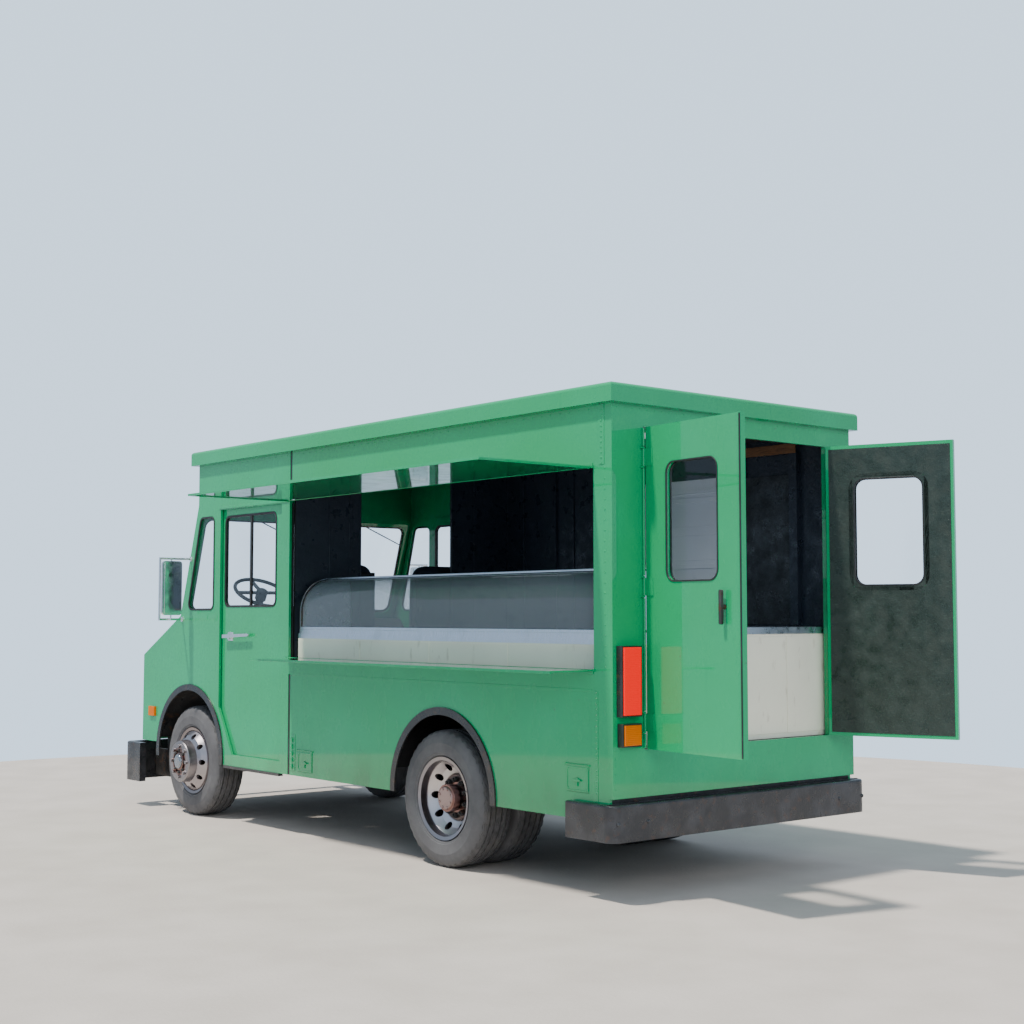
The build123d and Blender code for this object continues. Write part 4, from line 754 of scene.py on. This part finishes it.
def make_hardware():
    """Strip hinge, door plates, pocket seals and tracks, mirror glass, lamp rings and hatch edges."""
    strip = Piece("strip_hinge")
    strip.box((WALL_X, WALL_X + 3), (-3452, -3380), (486, 752))
    for z in range(500, 740, 48):
        strip.tube((WALL_X + 6, -3416, z), (WALL_X + 6, -3416, z + 38), 7, None, 12)
        strip.dome((WALL_X + 3, -3440, z + 18), (1, 0, 0), 6)
        strip.dome((WALL_X + 3, -3391, z + 18), (1, 0, 0), 6)
    strip.done("truck", MATERIALS["green_paint"], 0.8)
    for name, side in SIDES:
        plate = Piece(f"cab_handle_plate_{name}")
        plate.box((side * CAB_DOOR_X[1], side * (CAB_DOOR_X[1] + 3)), (-4440, -4360), (1424, 1492))
        plate.dome((side * (CAB_DOOR_X[1] + 3), -4378, 1436), (side, 0, 0), 9, 4, 16)
        plate.done(f"cab_door_{name}", MATERIALS["chrome"], 1)
        flap = Piece(f"door_pocket_seal_{name}")
        flap.box((side * 1037, side * 1051), (-3586, -3494), (525, 2462))
        flap.done(f"cab_door_{name}", SEAL, 1)
        brush = Piece(f"door_pocket_brush_{name}")
        brush.box((side * 1024, side * 1028), (-3509, -3496), (FLOOR_Z + 3, 2464))
        brush.done("truck", SEAL)
        gutter = Piece(f"door_track_{name}")
        gutter.box((side * 1060, side * 1088), (-4556, -3500), (2470, 2492))
        gutter.done("truck", MATERIALS["green_paint"], 2)
        glass = Piece(f"mirror_glass_{name}")
        low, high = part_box(f"mirror_{name}")
        x = [(v.x - CENTRE_X) * 1000 for v in (low, high)]
        y = (high.y - WALL_Y) * 1000
        glass.box((x[0] + 12, x[1] - 12), (y, y + 3), (low.z * 1000 + 14, high.z * 1000 - 14))
        glass.done(f"mirror_{name}", MIRROR, 1.5)
        lamp = Piece(f"headlamp_ring_{name}")
        steps = 40
        turn = [math.tau * i / steps for i in range(steps)]
        ring = [(side * 850 + 102 * math.cos(a), 980 + 102 * math.sin(a)) for a in turn]
        lamp.frame(ring, 20, 0, 10, lambda u, v, w: (u, -5850 - w, v))
        lamp.done("truck", MATERIALS["chrome"], 2)
    ledge = Piece("grille_back")
    ledge.box((-558, 558), (-5800, -5794), (722, 1158))
    ledge.done("truck", MATERIALS["black_metal"])
    hinges = Piece("hatch_trims")
    for z in ((HATCH_TOP + 8, HATCH_TOP + 24), (HATCH_SILL - 24, HATCH_SILL - 8)):
        hinges.box((WALL_X, WALL_X + 4), HATCH_Y, z)
    hinges.done("truck", MATERIALS["green_paint"], 0.8)
    edge = Piece("awning_edge")
    edge.box((1912, 1925), (HATCH_Y[0] + 2, HATCH_Y[1] - 2), (2470, 2477))
    for y in (-3484, -175):
        edge.box((1104, 1912), (y, y + 14), (2470, 2477))
    edge.done("awning", MATERIALS["green_paint"], 1)
    lip = Piece("shelf_edge")
    lip.box((1402, 1414), (HATCH_Y[0] + 2, HATCH_Y[1] - 2), (1296, 1304))
    lip.done("serving_shelf", MATERIALS["green_paint"], 1)


def make_bumper_details():
    """Strip behind the rear bumper, its back plate and the bolts of both bumpers."""
    sill = Piece("rear_sill_back")
    sill.box((-1058, 1058), (-36, -31), (520, 600))
    sill.done("truck", MATERIALS["black_metal"])
    rear = Piece("rear_bumper_trim")
    rear.box((-1120, 1120), (-10, 0), (558, 562))
    for x in (-1092, -860, 860, 1092):
        rear.dome((x, 55, 454), (0, 1, 0), 13, 7, 16)
    rear.done("truck", MATERIALS["bumper_black"], 1)
    front = Piece("front_bumper_bolts")
    for x in (-860, -420, 420, 860):
        front.dome((x, -6089, 377), (0, -1, 0), 14, 0.8, 16)
    front.done("truck", MATERIALS["chrome"])


def make_interior():
    """Display rails and lights, counter details and the lining's seams, posts and wood strip."""
    rail = Piece("display_rails")
    rail.box((772, 800), (-3420, -192), (1892, 1903))
    rail.box((1009, 1021), (-3424, -188), (DISPLAY_DECK, 1540))
    rail.box((560, 574), (-3422, -190), (DISPLAY_DECK, 1532))
    rail.done("truck", MATERIALS["steel"], 1.5)
    ends = Piece("display_end_trims")
    for y in (DISPLAY_Y[0], DISPLAY_Y[0] + 24, DISPLAY_Y[1] - 24, DISPLAY_Y[1]):
        outline = [(566, 1521), (1016, 1521), (1016, 1650)]
        outline += [(766 + 250 * math.cos(a), 1650 + 250 * math.sin(a)) for a in (0.3, 0.6, 0.9, 1.2, 1.5)]
        outline += [(566, 1900)]
        ends.frame(outline, 20, 0, 6, lambda u, v, w, y0=y: (u, y0 + w, v))
    ends.done("truck", MATERIALS["black_trim"], 0.6)
    tubes = Piece("display_light")
    tubes.box((980, 1000), (-3400, -210), (1522, 1534))
    tubes.done("truck", LIGHT, 2)
    cream = Piece("display_base_panels")
    for index in range(4):
        y = -3430 + index * 816
        cream.box((1026, 1029), (y, y + 800), (1072, 1446))
    cream.done("truck", MATERIALS["cream_panel"], 1)
    doors = Piece("counter_doors")
    for x in (-1006, -474):
        doors.box((x, x + 524), (-50, -46), (885, 1490))
    doors.done("truck", MATERIALS["cream_panel"], 1.5)
    sheet = Piece("ribbed_sheet")
    sheet.box((-1010, -1002), SHEET_Y, (COUNTER_TOP, 2604))
    for z in (1700, 1960, 2200, 2440):
        sheet.box((-1003, -993), (SHEET_Y[0] + 2, SHEET_Y[1] - 2), (z, z + 34))
        sheet.box((-1003, -998), (SHEET_Y[0] + 2, SHEET_Y[1] - 2), (z + 60, z + 68))
    sheet.done("truck", RIBBED, 2)
    splash = Piece("counter_panel")
    splash.box((-1008, -1004), (-852, -436), (COUNTER_TOP, 2584))
    splash.box((-1008, -1000), (-436, -434), (COUNTER_TOP, 2584))
    splash.done("truck", GREASY, 1)
    board = Piece("wood_strip")
    board.box((-978, -972), (-920, -366), (2722, 2788))
    board.box((-960, 760), (-70, -52), (2726, 2786))
    board.done("truck", WOOD, 2)
    posts = Piece("lining_posts")
    for y in (-3300, -2690):
        posts.box((-1020, -1008), (y, y + 46), (1060, LINING_TOP))
    for x in (-700, 520, 700):
        posts.box((x, x + 30), (BULKHEAD_Y, BULKHEAD_Y + 6), (870, LINING_TOP))
    for x in (440, -448):
        posts.box((x, x + 8), (BULKHEAD_Y, BULKHEAD_Y + 8), (862, 2700))
    posts.done("truck", MATERIALS["navy_lining"], 2)
    heads = Piece("lining_rivets")
    for y in (-3480, -2240):
        for z in range(900, 2780, 140):
            heads.dome((-1020, y, z), (1, 0, 0), 5)
    heads.done("truck", MATERIALS["navy_lining"])
    lights = Piece("ceiling_lights")
    for y in (-2900, -1500):
        lights.box((-60, 60), (y, y + 900), (2795, 2814))
    lights.done("truck", LIGHT, 4)
    mats = Piece("floor_ribs")
    for x in range(-450, 451, 50):
        mats.box((x, x + 24), (-3480, -60), (FLOOR_Z, FLOOR_Z + 2))
    mats.done("truck", MATERIALS["steel"], 0.5)


def make_cab():
    """Gauge rings, the steering wheel's pad and the wipers' rubber."""
    dials = Piece("gauge_rings")
    for x, radius in ((540, 46), (660, 46), (600, 24)):
        steps = 28
        turn = [math.tau * i / steps for i in range(steps)]
        ring = [(x + radius * math.cos(a), 1590 + radius * math.sin(a)) for a in turn]
        dials.frame(ring, 7, 0, 6, lambda u, v, w: (u, -4930 + w, v))
    dials.done("truck", MATERIALS["chrome"], 1)
    wheel_joint = JOINTS["steering_wheel_turn"]
    axis = Vector(wheel_joint["axis"]).normalized()
    across = axis.orthogonal().normalized()
    other = axis.cross(across)
    basis = Matrix((across, other, axis)).transposed().to_4x4()
    millimetres = Matrix.Diagonal((0.001, 0.001, 0.001, 1))
    pad = Piece("steering_wheel_pad", Matrix.Translation(Vector(wheel_joint["pos_m"])) @ basis @ millimetres)
    pad.tube((0, 0, 12), (0, 0, 26), 52, 40, 32)
    pad.done("steering_wheel", MATERIALS["dash_plastic"], 3)
    for name, x in (("left", 526), ("right", -533)):
        drop = math.radians(21)
        blade = Piece(f"wiper_rubber_{name}", SCREEN)
        for share in range(12):
            d = 62 + share * 34
            u, v = x - math.cos(drop) * d, 850 - math.sin(drop) * d
            blade.dome((u, v, 9), (0, 0, 1), 7, 4)
        blade.done(f"wiper_{name}", SEAL)


# ---------------------------------------------------------------- seats

def cushion_shape(name, x, y, z, crown, taper=0.0):
    """Closed rounded block with many faces, a little smaller than its final size."""
    bm = bmesh.new()
    bmesh.ops.create_cube(bm, size=1.0)
    bmesh.ops.subdivide_edges(bm, edges=bm.edges, cuts=11, use_grid_fill=True)
    centre = Vector([(side[0] + side[1]) / 2 for side in (x, y, z)])
    half = Vector([abs(side[1] - side[0]) / 2 for side in (x, y, z)])
    for vert in bm.verts:
        unit = vert.co * 2
        soft = [abs(c) ** 6 for c in unit]
        pull = sum(soft) ** (1 / 6) if sum(soft) > 0 else 1.0
        unit = unit / max(pull, 1.0)
        bulge = (1 - unit.x ** 2) * (1 - (unit.y if crown == "z" else unit.z) ** 2)
        if crown == "z":
            unit.z += 0.10 * bulge if unit.z > 0 else 0
        else:
            unit.y += 0.10 * bulge if unit.y > 0 else -0.06 * bulge
            unit.x *= 1 - taper * max(unit.z, 0) ** 2
        vert.co = at(*(centre + Vector([unit[i] * half[i] for i in range(3)])))
    mesh = bpy.data.meshes.new(name)
    bm.to_mesh(mesh)
    bm.free()
    obj = bpy.data.objects.new(name, mesh)
    bpy.context.scene.collection.objects.link(obj)
    return obj


def swell(obj):
    """Blow the cushion up with the Cloth modifier, each point moving no further than the cap."""
    remesh = obj.modifiers.new("remesh", "REMESH")
    remesh.mode = "VOXEL"
    remesh.voxel_size = CUSHION_VOXEL
    bake(obj)
    start = [v.co.copy() for v in obj.data.vertices]
    cloth = obj.modifiers.new("cloth", "CLOTH")
    cloth.settings.use_pressure = True
    cloth.settings.uniform_pressure_force = 4
    cloth.settings.effector_weights.gravity = 0
    cloth.settings.quality = 4
    for step in range(1, CLOTH_FRAMES + 1):
        bpy.context.scene.frame_set(step)
    bake(obj)
    bpy.context.scene.frame_set(1)
    for vert, rest in zip(obj.data.vertices, start):
        move = vert.co - rest
        if move.length > CUSHION_CAP:
            vert.co = rest + move.normalized() * CUSHION_CAP
    finer = obj.modifiers.new("finer", "SUBSURF")
    finer.levels = 1
    finer.render_levels = 1


def bake(obj):
    """Replace the mesh by what its modifiers make of it."""
    shown = obj.evaluated_get(bpy.context.evaluated_depsgraph_get())
    mesh = bpy.data.meshes.new_from_object(shown)
    obj.modifiers.clear()
    obj.data = mesh


def make_seats():
    """Both cab seats: pedestal, back shell, brackets, two cushions and piping."""
    vinyl = MATERIALS["seat_vinyl"]
    shells = Piece("seat_pedestals")
    piping = Piece("seat_piping")
    for name, side in SIDES:
        x = side * SEAT_X
        shells.box((x - 170, x + 170), (-4180, -3780), (FLOOR_Z, 1225))
        shells.box((x - 250, x + 250), (-4240, -3770), (1218, 1236))
        shells.box((x - 270, x + 270), (-3664, -3642), (1352, 1960))
        for bracket in (x - 150, x + 110):
            shells.box((bracket, bracket + 40), (-3800, -3650), (1215, 1420))
        z = (SEAT_Z, SEAT_Z + 104)
        seat = cushion_shape(f"seat_cushion_{name}", (x - 255, x + 255), (-4254, -3766), z, "z")
        z = (SEAT_Z + 116, SEAT_Z + 794)
        back = cushion_shape(f"seat_back_{name}", (x - 292, x + 292), (-3744, -3656), z, "y", 0.09)
        for cushion in (seat, back):
            swell(cushion)
            cushion.data.materials.clear()
            cushion.data.materials.append(vinyl)
            cushion.data.shade_smooth()
            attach(cushion, "truck")
        outline = rounded((x - 250, x + 250), (-4250, -3772), 60)
        piping.frame(outline, 7, 0, 7, lambda u, v, w: (u, v, SEAT_Z + 50 + w))
    pedestals = shells.done("truck", MATERIALS["black_metal"], 6)
    piping.done("truck", MATERIALS["black_trim"], 1)
    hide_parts("seats")


# ---------------------------------------------------------------- camera, light and stage

def make_camera():
    """Camera low behind the truck's left rear corner."""
    data = bpy.data.cameras.new("camera")
    data.lens = 53.5
    data.sensor_width = 36.0
    data.clip_end = 200
    camera = bpy.data.objects.new("camera", data)
    bpy.context.scene.collection.objects.link(camera)
    camera.location = (6.757, 8.922, 1.621)
    yaw, pitch = math.radians(-129.71), math.radians(3.90)
    look = Vector((math.cos(yaw) * math.cos(pitch), math.sin(yaw) * math.cos(pitch), math.sin(pitch)))
    camera.rotation_mode = "QUATERNION"
    camera.rotation_quaternion = look.to_track_quat("-Z", "Y")
    bpy.context.scene.camera = camera


def make_light():
    """Pale sky all round, brighter where it is seen directly, a soft high sun and a weak fill."""
    world = bpy.data.worlds.new("sky")
    bpy.context.scene.world = world
    world.use_nodes = True
    nodes, links = world.node_tree.nodes, world.node_tree.links
    nodes.clear()
    out = nodes.new("ShaderNodeOutputWorld")
    back = nodes.new("ShaderNodeBackground")
    coords = nodes.new("ShaderNodeTexCoord")
    split = nodes.new("ShaderNodeSeparateXYZ")
    half = nodes.new("ShaderNodeMath")
    half.operation = "MULTIPLY_ADD"
    half.inputs[1].default_value = 0.5
    half.inputs[2].default_value = 0.5
    ramp = nodes.new("ShaderNodeValToRGB")
    ramp.color_ramp.elements[0].position = 0.30
    ramp.color_ramp.elements[0].color = (0.60, 0.78, 0.98, 1)
    ramp.color_ramp.elements[1].position = 0.80
    ramp.color_ramp.elements[1].color = (0.62, 0.78, 0.96, 1)
    horizon = ramp.color_ramp.elements.new(0.5)
    horizon.color = (0.63, 0.80, 1.0, 1)
    links.new(coords.outputs["Generated"], split.inputs[0])
    links.new(split.outputs["Z"], half.inputs[0])
    links.new(half.outputs[0], ramp.inputs["Fac"])
    links.new(ramp.outputs["Color"], back.inputs["Color"])
    path = nodes.new("ShaderNodeLightPath")
    seen = nodes.new("ShaderNodeMapRange")
    seen.inputs["To Min"].default_value = 0.88
    seen.inputs["To Max"].default_value = 1.75
    links.new(path.outputs["Is Camera Ray"], seen.inputs["Value"])
    links.new(seen.outputs["Result"], back.inputs["Strength"])
    links.new(back.outputs[0], out.inputs["Surface"])
    suns = (("sun", 5.2, 3, (-0.37, 0.09, -0.925), (1.0, 0.95, 0.88)),
            ("fill", 1.0, 30, (-0.35, -0.85, -0.40), (0.98, 0.98, 1.0)))
    for name, energy, angle, towards, colour in suns:
        light = bpy.data.lights.new(name, "SUN")
        light.energy = energy
        light.angle = math.radians(angle)
        light.color = colour
        lamp = bpy.data.objects.new(name, light)
        lamp.rotation_mode = "QUATERNION"
        lamp.rotation_quaternion = Vector(towards).to_track_quat("-Z", "Y")
        bpy.context.scene.collection.objects.link(lamp)


def make_floor():
    """Plain pale disc of ground with the truck at its middle."""
    mesh = bpy.data.meshes.new("ground")
    steps, reach = 128, 7.9
    turn = [math.tau * i / steps for i in range(steps)]
    mesh.from_pydata([(reach * math.cos(a), reach * math.sin(a), 0) for a in turn], [], [tuple(range(steps))])
    ground = bpy.data.objects.new("ground", mesh)
    bpy.context.scene.collection.objects.link(ground)
    paint = Paint("ground", (0.56, 0.505, 0.45), 0.0, 0.9)
    paint.tint(paint.noise(2.0, 6.0), (0.50, 0.45, 0.40))
    mesh.materials.append(paint.bump(paint.noise(40.0, 6.0), 0.002, 0.4).material)


make_tyres()
make_hubs()
make_rivets()
make_roof_details()
make_gaskets()
make_flap_trims()
make_hardware()
make_bumper_details()
make_interior()
make_cab()
make_seats()
make_camera()
make_light()
make_floor()
